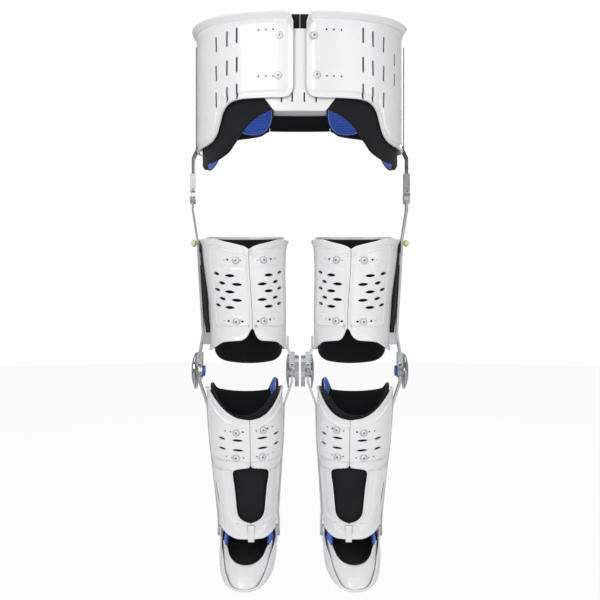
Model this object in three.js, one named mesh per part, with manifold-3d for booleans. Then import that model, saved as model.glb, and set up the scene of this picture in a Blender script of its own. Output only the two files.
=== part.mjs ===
import * as THREE from "three";
import { mergeVertices } from "three/addons/utils/BufferGeometryUtils.js";
import Module from "manifold-3d";

// Hip knee ankle foot orthosis, in millimetres. The origin is the middle of the pelvic band,
// +Z is up, the front faces -Y and the wearer's left side is +X.
// Each leg is drawn for the left side and mirrored for the right.

// Heights of the joints and the line of the uprights
const hipHeight = -210;
const kneeHeight = -533;
const ankleHeight = -832;
const jointLine = 26;
const hipLine = 0;
const clearance = 0.3;
const layerGap = 0.75;
const footGap = 1.8;

// Pelvic band
const bandWidth = 374;
const bandFront = 125;
const bandBack = 112;
const bandTop = 88;
const panelBottom = -56;
const wingBottom = -131;
const rearBottom = -60;
const centreGap = 22;
const bandWall = 3.4;
const bandFlare = 4;
const bandFoam = 5.5;
const foamBottom = -157;
const centrePlateBottom = -78;
const centrePlateTop = 62;
const centrePlateAngle = 24;
const beltTop = -37;
const beltBottom = -68;
const beltWall = 2.5;
const padThickness = 6;

// Thigh
const thighTop = -290;
const thighBottom = -492;
const thighCentre = 103;
const thighKneeCentre = 96;
const thighWidth = 162;
const thighKneeWidth = 140;
const thighFront = 84;
const thighBack = 66;
const thighKneeBack = 34;
const legWall = 3;
const legFoam = 4;
const legSeam = 1.2;

// Shank
const shankTop = -553;
const shankBottom = -830;
const shankCentre = 103;
const shankAnkleCentre = 96;
const shankWidth = 141;
const shankAnkleWidth = 100;
const shankFront = 66;
const shankAnkleFront = 50;
const shankBack = 38;
const shankAnkleBack = 40;
const windowTop = -709;
const windowBottom = -802;
const windowHalf = 32;

// Foot, measured from the ankle axis before the foot is tilted down
const footDrop = 12;
const footLength = 145;
const heelLength = 56;
const footWidth = 106;
const soleDepth = 44;
const footWall = 3;
const footFoam = 3;

// Hardware
const barThickness = 4;
const barDepth = 20;
const hipBarTop = 64;
const hipStandOff = 10;
const hipBarX = bandWidth / 2 + hipStandOff;
const headRadius = 13;
const ankleRadius = 11;
const pinRadius = 4;
const boreClearance = 0.35;
const kneeOuterX = 188;
const kneeInnerX = 15;
const coverRadius = 34;
const coverDepth = 9;
const innerCoverRadius = 30;
const innerCoverGap = 4;
const ankleStandOff = 3;
const ankleOuterX = shankAnkleCentre + footWidth / 2 + ankleStandOff;
const ankleInnerX = shankAnkleCentre - footWidth / 2 - ankleStandOff;

// Vents and holes
const slotWidth = 2.6;
const bandSlotLength = 26;
const holeRadius = 1.7;
const legSlotWidth = 5;

const shellWhite = { color: 0xf4f5f5, roughness: 0.28, metalness: 0 };
const foamBlack = { color: 0x15161a, roughness: 0.85, metalness: 0 };
const padBlue = { color: 0x2a4fd0, roughness: 0.75, metalness: 0 };
const barBlack = { color: 0x22231f, roughness: 0.45, metalness: 0.4 };
const steel = { color: 0xb9bdc1, roughness: 0.25, metalness: 0.9 };
const knobYellow = { color: 0xd9e08a, roughness: 0.5, metalness: 0 };

const wasm = await Module();
wasm.setup();

const radians = THREE.MathUtils.degToRad;

// A value read from a table of rows by straight interpolation on one of its columns
function lookUp(rows, by, column, at) {
  if (at <= rows[0][by]) return rows[0][column];
  for (let i = 1; i < rows.length; i++) {
    if (at <= rows[i][by]) {
      const share = (at - rows[i - 1][by]) / (rows[i][by] - rows[i - 1][by]);
      return rows[i - 1][column] + share * (rows[i][column] - rows[i - 1][column]);
    }
  }
  return rows[rows.length - 1][column];
}

// A tapering tube of superellipse sections: the point at an angle from the front, a height and
// an offset outwards. A positive angle turns to +X. The tube is flat between its stations, so
// that walls at different offsets lie parallel.
function makeForm(rows, power, stations) {
  const round = (angle, z, offset) => {
    const s = Math.sin(radians(angle));
    const c = Math.cos(radians(angle));
    const half = lookUp(rows, "z", "half", z) + offset;
    const depth = lookUp(rows, "z", c > 0 ? "front" : "back", z) + offset;
    const x = lookUp(rows, "z", "x", z) + half * Math.sign(s) * Math.abs(s) ** (2 / power);
    const y = lookUp(rows, "z", "y", z) - depth * Math.sign(c) * Math.abs(c) ** (2 / power);
    return new THREE.Vector3(x, y, z);
  };
  const ring = [...stations, ...stations.slice(1, -1).reverse().map((a) => 360 - a)];
  const turns = [-360, 0, 360].flatMap((turn) => ring.map((a) => a + turn));
  const form = (angle, z, offset) => {
    const after = turns.findIndex((a) => a > angle + 1e-9);
    const low = turns[after - 1];
    const share = (angle - low) / (turns[after] - low);
    return round(low, z, offset).lerp(round(turns[after], z, offset), share);
  };
  form.turns = turns;
  form.levels = rows.slice(1, -1).map((row) => row.z);
  return form;
}

// The heights of one column of a wall: its bottom and top, and the form's own levels between them
function columnHeights(form, bottom, top) {
  const steps = form.levels.length + 1;
  const least = 0.04 * (top - bottom) / steps;
  const heights = form.levels.map((level, i) => THREE.MathUtils.clamp(
    level, bottom + (i + 1) * least, top - (steps - 1 - i) * least));
  return [bottom, ...heights, top];
}

// The angles of a wall with the form's own stations between them
function withStations(form, angles) {
  const low = Math.min(...angles);
  const high = Math.max(...angles);
  const near = 1.5;
  const inside = form.turns.filter((a) => a > low + 0.3 && a < high - 0.3);
  const own = angles.filter((a) => a === low || a === high || inside.every((b) => Math.abs(a - b) > near));
  return [...own, ...inside].sort((a, b) => a - b);
}

// A closed geometry from shared points and faces, turned so that its faces point out
function solidFrom(points, faces) {
  let volume = 0;
  for (const [a, b, c] of faces) {
    volume += points[a].dot(new THREE.Vector3().crossVectors(points[b], points[c]));
  }
  const index = volume < 0 ? faces.flatMap(([a, b, c]) => [a, c, b]) : faces.flat();
  const geometry = new THREE.BufferGeometry();
  const position = new Float32Array(points.flatMap((p) => [p.x, p.y, p.z]));
  geometry.setAttribute("position", new THREE.BufferAttribute(position, 3));
  geometry.setIndex(index);
  return geometry;
}

// A curved wall of a form between two offsets. Each angle has its own bottom and top.
function wall(form, { angles, bottom, top, outer, inner, closed = false }) {
  const points = [];
  const faces = [];
  const rows = form.levels.length + 1;
  const high = rows + 1;
  if (!closed) angles = withStations(form, angles);
  const layer = angles.length * high;
  for (const offset of [outer, inner]) {
    for (const angle of angles) {
      for (const z of columnHeights(form, bottom(angle), top(angle))) points.push(form(angle, z, offset));
    }
  }
  const quad = (a, b, c, d) => faces.push([a, b, c], [a, c, d]);
  const spans = closed ? angles.length : angles.length - 1;
  for (let i = 0; i < spans; i++) {
    const here = i * high;
    const next = ((i + 1) % angles.length) * high;
    for (let j = 0; j < rows; j++) {
      quad(here + j, next + j, next + j + 1, here + j + 1);
      quad(layer + next + j, layer + here + j, layer + here + j + 1, layer + next + j + 1);
    }
    quad(layer + here, layer + next, next, here);
    quad(here + rows, next + rows, layer + next + rows, layer + here + rows);
  }
  if (!closed) {
    const last = (angles.length - 1) * high;
    for (let j = 0; j < rows; j++) {
      quad(layer + j, j, j + 1, layer + j + 1);
      quad(last + j, layer + last + j, layer + last + j + 1, last + j + 1);
    }
  }
  return solidFrom(points, faces);
}

const edge = (rows) => (angle) => lookUp(rows, "at", "z", Math.abs(angle));

// A geometry with only positions, whose shared points are merged
function merge(geometry) {
  const bare = geometry.clone();
  bare.deleteAttribute("normal");
  bare.deleteAttribute("uv");
  return mergeVertices(bare, 1e-4);
}

function toManifold(geometry) {
  const merged = merge(geometry);
  return new wasm.Manifold(new wasm.Mesh({
    numProp: 3,
    vertProperties: new Float32Array(merged.attributes.position.array),
    triVerts: new Uint32Array(merged.index.array),
  }));
}

function toGeometry(manifold) {
  const mesh = manifold.getMesh();
  const geometry = new THREE.BufferGeometry();
  geometry.setAttribute("position", new THREE.BufferAttribute(mesh.vertProperties, 3));
  geometry.setIndex(new THREE.BufferAttribute(mesh.triVerts, 1));
  return geometry;
}

function join(...geometries) {
  return toGeometry(geometries.map(toManifold).reduce((all, next) => all.add(next)));
}

function cut(geometry, cutters) {
  if (cutters.length === 0) return geometry;
  const tools = cutters.map(toManifold).reduce((all, next) => all.add(next));
  return toGeometry(toManifold(geometry).subtract(tools));
}

// The same shape for the other leg
function mirrored(geometry) {
  const copy = merge(geometry);
  copy.scale(-1, 1, 1);
  const index = Array.from(copy.index.array);
  for (let i = 0; i < index.length; i += 3) {
    [index[i], index[i + 1]] = [index[i + 1], index[i]];
  }
  copy.setIndex(index);
  return copy;
}

// A slot's cutter: a long block pushed through the wall of a form, turned by a tilt
function slotCutter(form, angle, z, length, width, tilt) {
  const here = form(angle, z, 0);
  const along = form(angle + 0.5, z, 0).sub(form(angle - 0.5, z, 0)).normalize();
  const up = form(angle, z + 1, 0).sub(form(angle, z - 1, 0)).normalize();
  const out = new THREE.Vector3().crossVectors(along, up).normalize();
  const half = length / 2;
  const side = width / 2;
  const shape = new THREE.Shape([
    new THREE.Vector2(-half, -side),
    new THREE.Vector2(half, -side),
    new THREE.Vector2(half, side),
    new THREE.Vector2(-half, side),
  ]);
  const reach = 2 * legWall + 1;
  const cutter = new THREE.ExtrudeGeometry(shape, { depth: 2 * reach, bevelEnabled: false });
  cutter.translate(0, 0, -reach);
  cutter.rotateZ(radians(tilt));
  const upright = new THREE.Vector3().crossVectors(out, along);
  cutter.applyMatrix4(new THREE.Matrix4().makeBasis(along, upright, out).setPosition(here));
  return cutter;
}

function holeCutter(form, angle, z) {
  return slotCutter(form, angle, z, 2 * holeRadius, 2 * holeRadius, 45);
}

const object = new THREE.Group();

function addPiece(name, geometry, finish, parent = object) {
  const piece = new THREE.Mesh(geometry, new THREE.MeshStandardMaterial(finish));
  piece.name = name;
  parent.add(piece);
  return piece;
}

function addPair(name, geometry, finish) {
  addPiece(name + "_left", geometry, finish);
  addPiece(name + "_right", mirrored(geometry), finish);
}

// Pelvic band
const bandHalf = bandWidth / 2;
const bandPower = 2.4;
const bandStations = [0, 7, 15, 24, 33, 42, 51, 62, 76, 90, 104, 118, 129, 138, 147, 156, 165, 173, 180];
const bandForm = makeForm([
  { z: wingBottom * 1.3, half: bandHalf, front: bandFront, back: bandBack, x: 0, y: 0 },
  { z: bandTop - 22, half: bandHalf, front: bandFront, back: bandBack, x: 0, y: 0 },
  { z: bandTop, half: bandHalf + bandFlare, front: bandFront + bandFlare, back: bandBack + bandFlare,
    x: 0, y: 0 },
], bandPower, bandStations);

const bandAngleAt = (x) => THREE.MathUtils.radToDeg(Math.asin((x / bandHalf) ** (bandPower / 2)));
const panelStart = bandAngleAt(centreGap / 2);
const shellInner = -bandWall;
const secondOuter = shellInner - layerGap;
const secondInner = secondOuter - bandWall;
const foamOuter = secondInner - layerGap;
const foamInner = foamOuter - bandFoam;

const panelDeep = (share) => THREE.MathUtils.lerp(panelBottom, wingBottom, share);
const shellBottom = edge([
  { at: panelStart, z: panelBottom + 16 },
  { at: 2.8, z: panelBottom + 6 },
  { at: 4.5, z: panelBottom + 1.2 },
  { at: 7, z: panelBottom },
  { at: 27, z: panelBottom },
  { at: 34, z: panelDeep(0.03) },
  { at: 38, z: panelDeep(0.09) },
  { at: 42, z: panelDeep(0.24) },
  { at: 45, z: panelDeep(0.5) },
  { at: 48, z: panelDeep(0.74) },
  { at: 54, z: panelDeep(0.91) },
  { at: 64, z: panelDeep(0.98) },
  { at: 90, z: wingBottom },
  { at: 105, z: panelDeep(0.96) },
]);
const shellTop = edge([
  { at: panelStart, z: bandTop - 16 },
  { at: 2.6, z: bandTop - 6 },
  { at: 3.8, z: bandTop - 1.5 },
  { at: 6, z: bandTop },
  { at: 100, z: bandTop },
]);
const shellAngles = [panelStart, 3, 4.8, 27, 36, 39, 45, 48, 55, 104];

// Three columns of upright vents, and a short fourth one on the left side
const ventColumns = [
  { angle: 31, high: 53, tilt: 0 },
  { angle: 38, high: 49, tilt: 1 },
  { angle: 47, high: 43, tilt: -2 },
];
const ventRows = [0, -50, -96];
const sideVents = [{ angle: 59, z: 22 }, { angle: 59, z: -13 }];
const screwRows = [59, -20];
const adjustHoles = [10.5, 14, 18];

function bandCutters(withSideVents) {
  const cutters = [];
  for (const column of ventColumns) {
    for (const drop of ventRows) {
      const tilt = 90 + column.tilt;
      cutters.push(slotCutter(bandForm, column.angle, column.high + drop, bandSlotLength, slotWidth, tilt));
    }
  }
  for (const z of screwRows) {
    for (const angle of adjustHoles) cutters.push(holeCutter(bandForm, angle, z));
  }
  if (withSideVents) {
    for (const vent of sideVents) {
      cutters.push(slotCutter(bandForm, vent.angle, vent.z, bandSlotLength * 0.85, slotWidth, 90));
    }
  }
  return cutters;
}

const halfShell = wall(bandForm, {
  angles: shellAngles, bottom: shellBottom, top: shellTop, outer: 0, inner: shellInner,
});
addPiece("pelvis_shell_left", cut(halfShell, bandCutters(true)), shellWhite);
addPiece("pelvis_shell_right", mirrored(cut(halfShell, bandCutters(false))), shellWhite);

// Centre plate under the two half shells, with four short slots along its lower edge
const plateBottom = edge([
  { at: 0, z: centrePlateBottom },
  { at: 9.5, z: centrePlateBottom },
  { at: 14.5, z: panelBottom - 4 },
  { at: 17, z: panelBottom + 6 },
  { at: centrePlateAngle, z: panelBottom + 16 },
]);
const plateTop = edge([{ at: 0, z: centrePlateTop }, { at: centrePlateAngle, z: centrePlateTop }]);
const plateSlots = [
  { angle: -6.8, z: panelBottom - 2, length: 12 },
  { angle: -2.4, z: panelBottom + 1, length: 17 },
  { angle: 1.2, z: panelBottom + 1, length: 17 },
  { angle: 5.8, z: panelBottom - 2, length: 12 },
];
const plateWall = wall(bandForm, {
  angles: [-24, -17, -14.5, -9.5, -5, 0, 5, 9.5, 14.5, 17, 24].map((a) => a * centrePlateAngle / 24),
  bottom: plateBottom, top: plateTop, outer: secondOuter, inner: secondInner,
});
const plateCutters = plateSlots.map((s) => slotCutter(bandForm, s.angle, s.z, s.length, slotWidth, 90));
addPiece("pelvis_centre_plate", cut(plateWall, plateCutters), shellWhite);

// Rear shell, whose ends pass under the half shells
const rearEdge = edge([
  { at: 70, z: panelDeep(0.9) },
  { at: 104, z: panelDeep(0.85) },
  { at: 118, z: THREE.MathUtils.lerp(wingBottom, rearBottom, 0.35) },
  { at: 132, z: THREE.MathUtils.lerp(wingBottom, rearBottom, 0.75) },
  { at: 148, z: rearBottom },
  { at: 180, z: rearBottom },
]);
const rearTop = edge([
  { at: 70, z: bandTop - 8 },
  { at: 90, z: bandTop - 4 },
  { at: 110, z: bandTop },
  { at: 180, z: bandTop },
]);
const rearAngles = [72, 288];
const foldAngle = (edgeAt) => (angle) => edgeAt(angle > 180 ? 360 - angle : angle);
addPiece("pelvis_rear_shell", wall(bandForm, {
  angles: rearAngles, bottom: foldAngle(rearEdge), top: foldAngle(rearTop),
  outer: secondOuter, inner: secondInner,
}), shellWhite);

// Foam liners, which reach below the shells along the leg openings
const foamDeep = (share) => THREE.MathUtils.lerp(centrePlateBottom, foamBottom, share);
const foamLower = edge([
  { at: 0.4, z: foamDeep(0) + 10 },
  { at: 10, z: foamDeep(0) + 6 },
  { at: 14.3, z: foamDeep(0) + 2 },
  { at: 22, z: foamDeep(0.13) },
  { at: 27, z: foamDeep(0.27) },
  { at: 31.4, z: foamDeep(0.45) },
  { at: 36, z: foamDeep(0.64) },
  { at: 41.5, z: foamDeep(0.83) },
  { at: 51.7, z: foamDeep(0.96) },
  { at: 60, z: foamBottom },
  { at: 95, z: foamBottom },
  { at: 110, z: foamDeep(0.76) },
  { at: 125, z: foamDeep(0.4) },
  { at: 140, z: foamDeep(0.13) },
  { at: 165, z: foamDeep(0.02) },
]);
const linerEnd = 164;
const foamUpper = edge([{ at: 0, z: bandTop - 1 }, { at: linerEnd, z: bandTop - 1 }]);
const linerAngles = [0.4, 28, 37, linerEnd];
addPair("pelvis_liner", wall(bandForm, {
  angles: linerAngles, bottom: foamLower, top: foamUpper, outer: foamOuter, inner: foamInner,
}), foamBlack);

// Rear belt between the ends of the liners
const beltEnd = linerEnd + 0.6;
addPiece("rear_belt", wall(bandForm, {
  angles: [beltEnd, 169, 174.5, 180, 185.5, 191, 360 - beltEnd],
  bottom: () => beltBottom, top: () => beltTop,
  outer: foamOuter, inner: foamOuter - beltWall,
}), foamBlack);

// Oval pads on the inside of the foam, with a rounded outline
function ovalPad(form, { angle: centre, z, halfTurn, halfHeight }, outer, thickness) {
  const blunt = 0.985;
  const shares = [-1, -0.88, -0.6, -0.25, 0.1, 0.45, 0.75, 0.93, 1];
  const angles = shares.map((share) => centre + share * halfTurn * blunt);
  const reach = (angle) => halfHeight * Math.sqrt(Math.max(0, 1 - ((angle - centre) / halfTurn) ** 2));
  return wall(form, {
    angles, bottom: (a) => z - reach(a), top: (a) => z + reach(a),
    outer, inner: outer - thickness,
  });
}
const padOuter = foamInner - layerGap;
const seatPad = { angle: 152, z: -32, halfTurn: 15, halfHeight: 47 };
const hipPad = { angle: 98, z: foamBottom + 40, halfTurn: 20, halfHeight: 37 };
addPair("seat_pad", ovalPad(bandForm, seatPad, padOuter, padThickness), padBlue);
addPair("hip_pad", ovalPad(bandForm, hipPad, padOuter, padThickness), padBlue);

// Legs
const legPower = 2.2;
const legStep = 15;
const legStations = Array.from({ length: 180 / legStep + 1 }, (_, i) => i * legStep);
const legY = 8;
const seamAngle = -8;
const secondLeg = -legWall - layerGap;
const foamLeg = secondLeg - legWall - layerGap;

// Where the side of a form stands at a height and a depth, for the bars and brackets beside it
function sideAt(form, z, y, turn) {
  let best = form(turn * 90, z, 0);
  for (let angle = 40; angle <= 140; angle += 0.5) {
    const p = form(turn * angle, z, 0);
    if (Math.abs(p.y - y) < Math.abs(best.y - y)) best = p;
  }
  return best.x;
}

// A flat bar along a path of x, y and z stations, standing edge on to the front
function barAlong(path, thickness, depth) {
  const left = [];
  const right = [];
  path.forEach((station, i) => {
    const before = path[Math.max(0, i - 1)];
    const after = path[Math.min(path.length - 1, i + 1)];
    const along = new THREE.Vector2(after.x - before.x, after.z - before.z).normalize();
    left.push(new THREE.Vector2(station.x - along.y * thickness / 2, station.z + along.x * thickness / 2));
    right.push(new THREE.Vector2(station.x + along.y * thickness / 2, station.z - along.x * thickness / 2));
  });
  const shape = new THREE.Shape([...left, ...right.reverse()]);
  const bar = new THREE.ExtrudeGeometry(shape, { depth, bevelEnabled: false });
  bar.translate(0, 0, -depth / 2);
  bar.rotateX(Math.PI / 2);
  const rising = [...path].sort((a, b) => a.z - b.z);
  const position = bar.attributes.position;
  for (let i = 0; i < position.count; i++) {
    position.setY(i, position.getY(i) + lookUp(rising, "z", "y", position.getZ(i)));
  }
  return bar;
}

// A round disc at a line and a height, between two values of x
function discAt(low, high, radius, line, z, sides = 12) {
  const disc = new THREE.CylinderGeometry(radius, radius, high - low, sides);
  disc.rotateZ(Math.PI / 2);
  disc.translate((low + high) / 2, line, z);
  return disc;
}

// A block across a line, between two values of x and two heights
function blockAt(lowX, highX, depth, line, lowZ, highZ) {
  const block = new THREE.BoxGeometry(highX - lowX, depth, highZ - lowZ);
  block.translate((lowX + highX) / 2, line, (lowZ + highZ) / 2);
  return block;
}

// The layers of a fork joint from its middle: the eye, then a cheek at each side
const eyeHalf = barThickness / 2;
const eyeGap = 0.4;
const cheekStart = eyeHalf + eyeGap;
const cheekWall = 3;
const cheekEnd = cheekStart + cheekWall;
const boreRadius = pinRadius + boreClearance;
const forkClear = 2;

function fork(x, line, z, rise) {
  const up = Math.sign(rise);
  const root = z + up * (headRadius + forkClear);
  const low = Math.min(z, z + rise);
  const high = Math.max(z, z + rise);
  const cheeks = [-1, 1].map((side) => {
    const a = Math.min(x + side * cheekStart, x + side * cheekEnd);
    const disc = discAt(a, a + cheekWall, headRadius, line, z);
    return join(disc, blockAt(a, a + cheekWall, barDepth * 0.8, line, low, high));
  });
  const bridge = blockAt(x - cheekEnd, x + cheekEnd, barDepth * 0.8, line,
    Math.min(root, z + rise), Math.max(root, z + rise));
  return join(...cheeks, bridge, discAt(x - cheekEnd, x + cheekEnd, pinRadius, line, z, 8));
}

function withBore(geometry, x, line, z) {
  return cut(geometry, [discAt(x - eyeHalf - 1, x + eyeHalf + 1, boreRadius, line, z, 8)]);
}

// Hip bars on the sides of the band, and the steel hip joints below them
const hipBarInner = sideAt(bandForm, 0, hipLine, 1) + clearance;
const bendHalf = 8;
const forkNeck = 30;
const hipForkTop = hipHeight + headRadius + forkNeck;
addPair("hip_bar", barAlong([
  { x: hipBarInner + barThickness / 2, y: hipLine, z: hipBarTop },
  { x: hipBarInner + barThickness / 2, y: hipLine, z: wingBottom + bendHalf },
  { x: hipBarX, y: hipLine, z: wingBottom - bendHalf },
  { x: hipBarX, y: hipLine, z: hipForkTop + clearance },
], barThickness, barDepth), barBlack);
addPair("hip_joint", fork(hipBarX, hipLine, hipHeight, hipForkTop - hipHeight), steel);

// Thigh
const thighShare = (share) => THREE.MathUtils.lerp(thighTop, thighBottom, share);
const thighForm = makeForm([
  { z: thighShare(1.2), half: thighKneeWidth / 2, front: thighFront * 0.92, back: thighKneeBack,
    x: thighKneeCentre, y: legY },
  { z: thighShare(0.75), half: thighKneeWidth / 2 + 1, front: thighFront * 0.95,
    back: (thighKneeBack + thighBack) / 2, x: thighKneeCentre, y: legY },
  { z: thighShare(0.1), half: thighWidth / 2 - 3, front: thighFront, back: thighBack,
    x: thighCentre, y: legY },
  { z: thighShare(-0.1), half: thighWidth / 2 + 2, front: thighFront, back: thighBack,
    x: thighCentre, y: legY },
], legPower, legStations);

const fromSeam = (rows) => (angle) => lookUp(rows, "at", "z", Math.abs(angle - seamAngle));
const thighLower = fromSeam([
  { at: 0, z: thighShare(0.8) },
  { at: 2, z: thighShare(0.815) },
  { at: 5, z: thighShare(0.86) },
  { at: 10, z: thighShare(0.893) },
  { at: 25, z: thighShare(0.905) },
  { at: 40, z: thighShare(0.92) },
  { at: 60, z: thighShare(0.96) },
  { at: 85, z: thighBottom },
  { at: 110, z: thighBottom },
]);
const thighUpper = fromSeam([
  { at: 0, z: thighShare(0.1) },
  { at: 2, z: thighShare(0.09) },
  { at: 6, z: thighShare(0.075) },
  { at: 30, z: thighShare(0.03) },
  { at: 45, z: thighShare(0.005) },
  { at: 110, z: thighTop },
]);
const frontSteps = [0, 3, 9, 108];
const thighSlotLength = 15.5;
const thighSlots = [
  { near: 24, far: 46, down: 0 },
  { near: 15.5, far: 37.5, down: 15.5 },
  { near: 25.5, far: 47, down: 28.5 },
  { near: 16, far: 38, down: 43.5 },
  { near: 26.5, far: 48, down: 56 },
];
const thighVentTop = thighShare(0.327);
const slotLift = { near: 0, far: 4.2 };
const slotTilt = { near: 4, far: 13 };

// A front half of a leg shell: turn is 1 for the outer half and -1 for the inner one
function frontHalf(form, turn, start, lower, upper, cutters) {
  const angles = frontSteps.map((step) => seamAngle + turn * (start + step * (108 - start) / 108));
  const shell = wall(form, { angles, bottom: lower, top: upper, outer: 0, inner: -legWall });
  return cut(shell, cutters);
}
const seamStart = THREE.MathUtils.radToDeg(legSeam / 2 / (thighWidth / 2));

for (const [name, turn] of [["outer", 1], ["inner", -1]]) {
  const cutters = [];
  for (const slot of thighSlots) {
    for (const column of ["near", "far"]) {
      const z = thighVentTop - slot.down + slotLift[column];
      const length = column === "near" ? thighSlotLength : thighSlotLength * 0.8;
      cutters.push(slotCutter(thighForm, seamAngle + turn * slot[column], z, length, legSlotWidth, turn * slotTilt[column]));
    }
  }
  addPair("thigh_front_" + name, frontHalf(thighForm, turn, seamStart, thighLower, thighUpper, cutters),
    shellWhite);
}

const backSteps = [88, 272];
const backEdge = (rows) => (angle) => lookUp(rows, "at", "z", Math.abs(angle - 180));
addPair("thigh_rear_shell", wall(thighForm, {
  angles: backSteps,
  bottom: backEdge([{ at: 0, z: thighShare(1.04) }, { at: 60, z: thighShare(1) }, { at: 95, z: thighShare(0.97) }]),
  top: backEdge([{ at: 0, z: thighShare(-0.06) }, { at: 60, z: thighShare(-0.05) }, { at: 95, z: thighShare(0.03) }]),
  outer: secondLeg, inner: secondLeg - legWall,
}), shellWhite);
const ringAngles = Array.from({ length: 360 / legStep }, (_, i) => i * legStep);
const ringEdge = (rows) => (angle) => lookUp(rows, "at", "z", angle > 180 ? 360 - angle : angle);
addPair("thigh_liner", wall(thighForm, {
  angles: ringAngles, closed: true, outer: foamLeg, inner: foamLeg - legFoam,
  bottom: ringEdge([{ at: 0, z: thighShare(0.76) }, { at: 40, z: thighShare(0.82) }, { at: 80, z: thighShare(0.96) },
    { at: 100, z: thighShare(1.03) }, { at: 140, z: thighShare(1.11) }, { at: 180, z: thighShare(1.13) }]),
  top: ringEdge([{ at: 0, z: thighShare(0.12) }, { at: 40, z: thighShare(0.07) }, { at: 80, z: thighShare(0.03) },
    { at: 120, z: thighShare(-0.03) }, { at: 180, z: thighShare(-0.03) }]),
}), foamBlack);

// Thigh uprights: the outer one hangs from the hip, and both carry the forks of the knee
const kneeForkNeck = 22;
const kneeForkRise = headRadius + kneeForkNeck;
const barLineAt = (z) => THREE.MathUtils.mapLinear(z, hipHeight, kneeHeight, hipLine, jointLine);
const bracketTall = 22;
const bracketAt = (share) => ({ y: barLineAt(thighShare(share)), z: thighShare(share), tall: bracketTall });
function bracket(form, place, barX, turn) {
  const halfDepth = barDepth * 0.4;
  const widest = THREE.MathUtils.clamp(legY, place.y - halfDepth, place.y + halfDepth);
  const shellX = [-0.5, 0, 0.5].map((s) => sideAt(form, place.z + s * place.tall, widest, turn));
  const near = turn > 0 ? Math.max(...shellX) + clearance : Math.min(...shellX) - clearance;
  return blockAt(Math.min(near, barX), Math.max(near, barX), barDepth * 0.8, place.y,
    place.z - place.tall / 2, place.z + place.tall / 2);
}
const thighBarTopX = thighCentre + thighWidth / 2 + 5;
const thighBarLowX = kneeOuterX - 7;
const outerThighBar = barAlong([
  { x: hipBarX, z: hipHeight },
  { x: hipBarX, z: hipHeight - headRadius - 12 },
  { x: thighBarTopX, z: thighTop },
  { x: thighBarLowX, z: thighShare(0.85) },
  { x: kneeOuterX, z: kneeHeight + kneeForkRise - 4 },
].map((station) => ({ ...station, y: barLineAt(station.z) })), barThickness, barDepth);
const hipEye = discAt(hipBarX - eyeHalf, hipBarX + eyeHalf, headRadius, hipLine, hipHeight);
addPair("thigh_upright_outer", join(
  withBore(join(outerThighBar, hipEye), hipBarX, hipLine, hipHeight),
  bracket(thighForm, bracketAt(0.17), thighBarTopX - 1, 1),
  bracket(thighForm, bracketAt(0.9), thighBarLowX, 1),
  fork(kneeOuterX, jointLine, kneeHeight, kneeForkRise),
), barBlack);
const innerBarX = thighKneeCentre - thighKneeWidth / 2 - clearance - barThickness / 2 - eyeGap;
addPair("thigh_upright_inner", join(
  barAlong([
    { x: innerBarX, y: jointLine, z: thighShare(0.88) },
    { x: innerBarX, y: jointLine, z: thighBottom },
    { x: kneeInnerX + 2, y: jointLine, z: kneeHeight + kneeForkRise - 4 },
  ], barThickness, barDepth * 0.8),
  fork(kneeInnerX, jointLine, kneeHeight, kneeForkRise),
  discAt(innerCoverGap / 2, kneeInnerX - cheekEnd, innerCoverRadius, jointLine, kneeHeight, 20),
), steel);
const knobRadius = 7;
const knob = new THREE.SphereGeometry(knobRadius, 8, 6);
knob.scale(0.8, 1, 1);
knob.translate(thighBarTopX + barThickness / 2 + knobRadius * 0.8 + clearance, barLineAt(thighTop), thighTop - 5);
addPair("lock_knob", knob, knobYellow);

// Domed chrome covers outside the outer knee joints, and the blue buttons inside them
const coverStart = kneeOuterX + cheekEnd + clearance;
const coverProfile = [
  { r: 0, x: 0 }, { r: 1, x: 0 }, { r: 1, x: 0.22 }, { r: 0.8, x: 0.72 }, { r: 0, x: 1 },
].map((p) => new THREE.Vector2(p.r * coverRadius, p.x * coverDepth));
const cover = new THREE.LatheGeometry(coverProfile, 20);
cover.rotateZ(-Math.PI / 2);
cover.translate(coverStart, jointLine, kneeHeight);
addPair("knee_cover", cover, steel);
const buttonRadius = 10;
const buttonEnd = kneeOuterX - cheekEnd - clearance;
addPair("knee_button", discAt(buttonEnd - 4, buttonEnd, buttonRadius, jointLine, kneeHeight, 16), padBlue);

// Shank
const shankShare = (share) => THREE.MathUtils.lerp(shankTop, shankBottom, share);
const widthAt = (share) => THREE.MathUtils.lerp(shankWidth, shankAnkleWidth, share) / 2;
const frontAt = (share) => THREE.MathUtils.lerp(shankFront, shankAnkleFront, share);
const centreAt = (share) => THREE.MathUtils.lerp(shankCentre, shankAnkleCentre, share);
const shankForm = makeForm([
  { z: shankShare(1.03), half: widthAt(1), front: frontAt(1), back: shankAnkleBack, x: centreAt(1), y: legY },
  { z: shankShare(0.62), half: widthAt(0.52), front: frontAt(0.65), back: shankBack + 8, x: centreAt(0.6),
    y: legY },
  { z: shankShare(0.28), half: widthAt(0.08), front: frontAt(0.28), back: shankBack + 14, x: centreAt(0.28),
    y: legY },
  { z: shankShare(-0.05), half: widthAt(0), front: frontAt(0), back: shankBack, x: centreAt(0), y: legY },
], legPower, legStations);
const shankUpper = fromSeam([
  { at: 0, z: shankShare(0.222) },
  { at: 12, z: shankShare(0.212) },
  { at: 26, z: shankShare(0.185) },
  { at: 40, z: shankShare(0.145) },
  { at: 55, z: shankShare(0.09) },
  { at: 70, z: shankShare(0.045) },
  { at: 85, z: shankShare(0.02) },
  { at: 110, z: shankShare(0.03) },
]);
const shankLower = fromSeam([
  { at: 0, z: shankShare(1.0) },
  { at: 20, z: shankShare(1.0) },
  { at: 45, z: shankShare(0.98) },
  { at: 65, z: shankShare(0.95) },
  { at: 85, z: shankShare(0.93) },
  { at: 110, z: shankShare(0.93) },
]);

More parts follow.
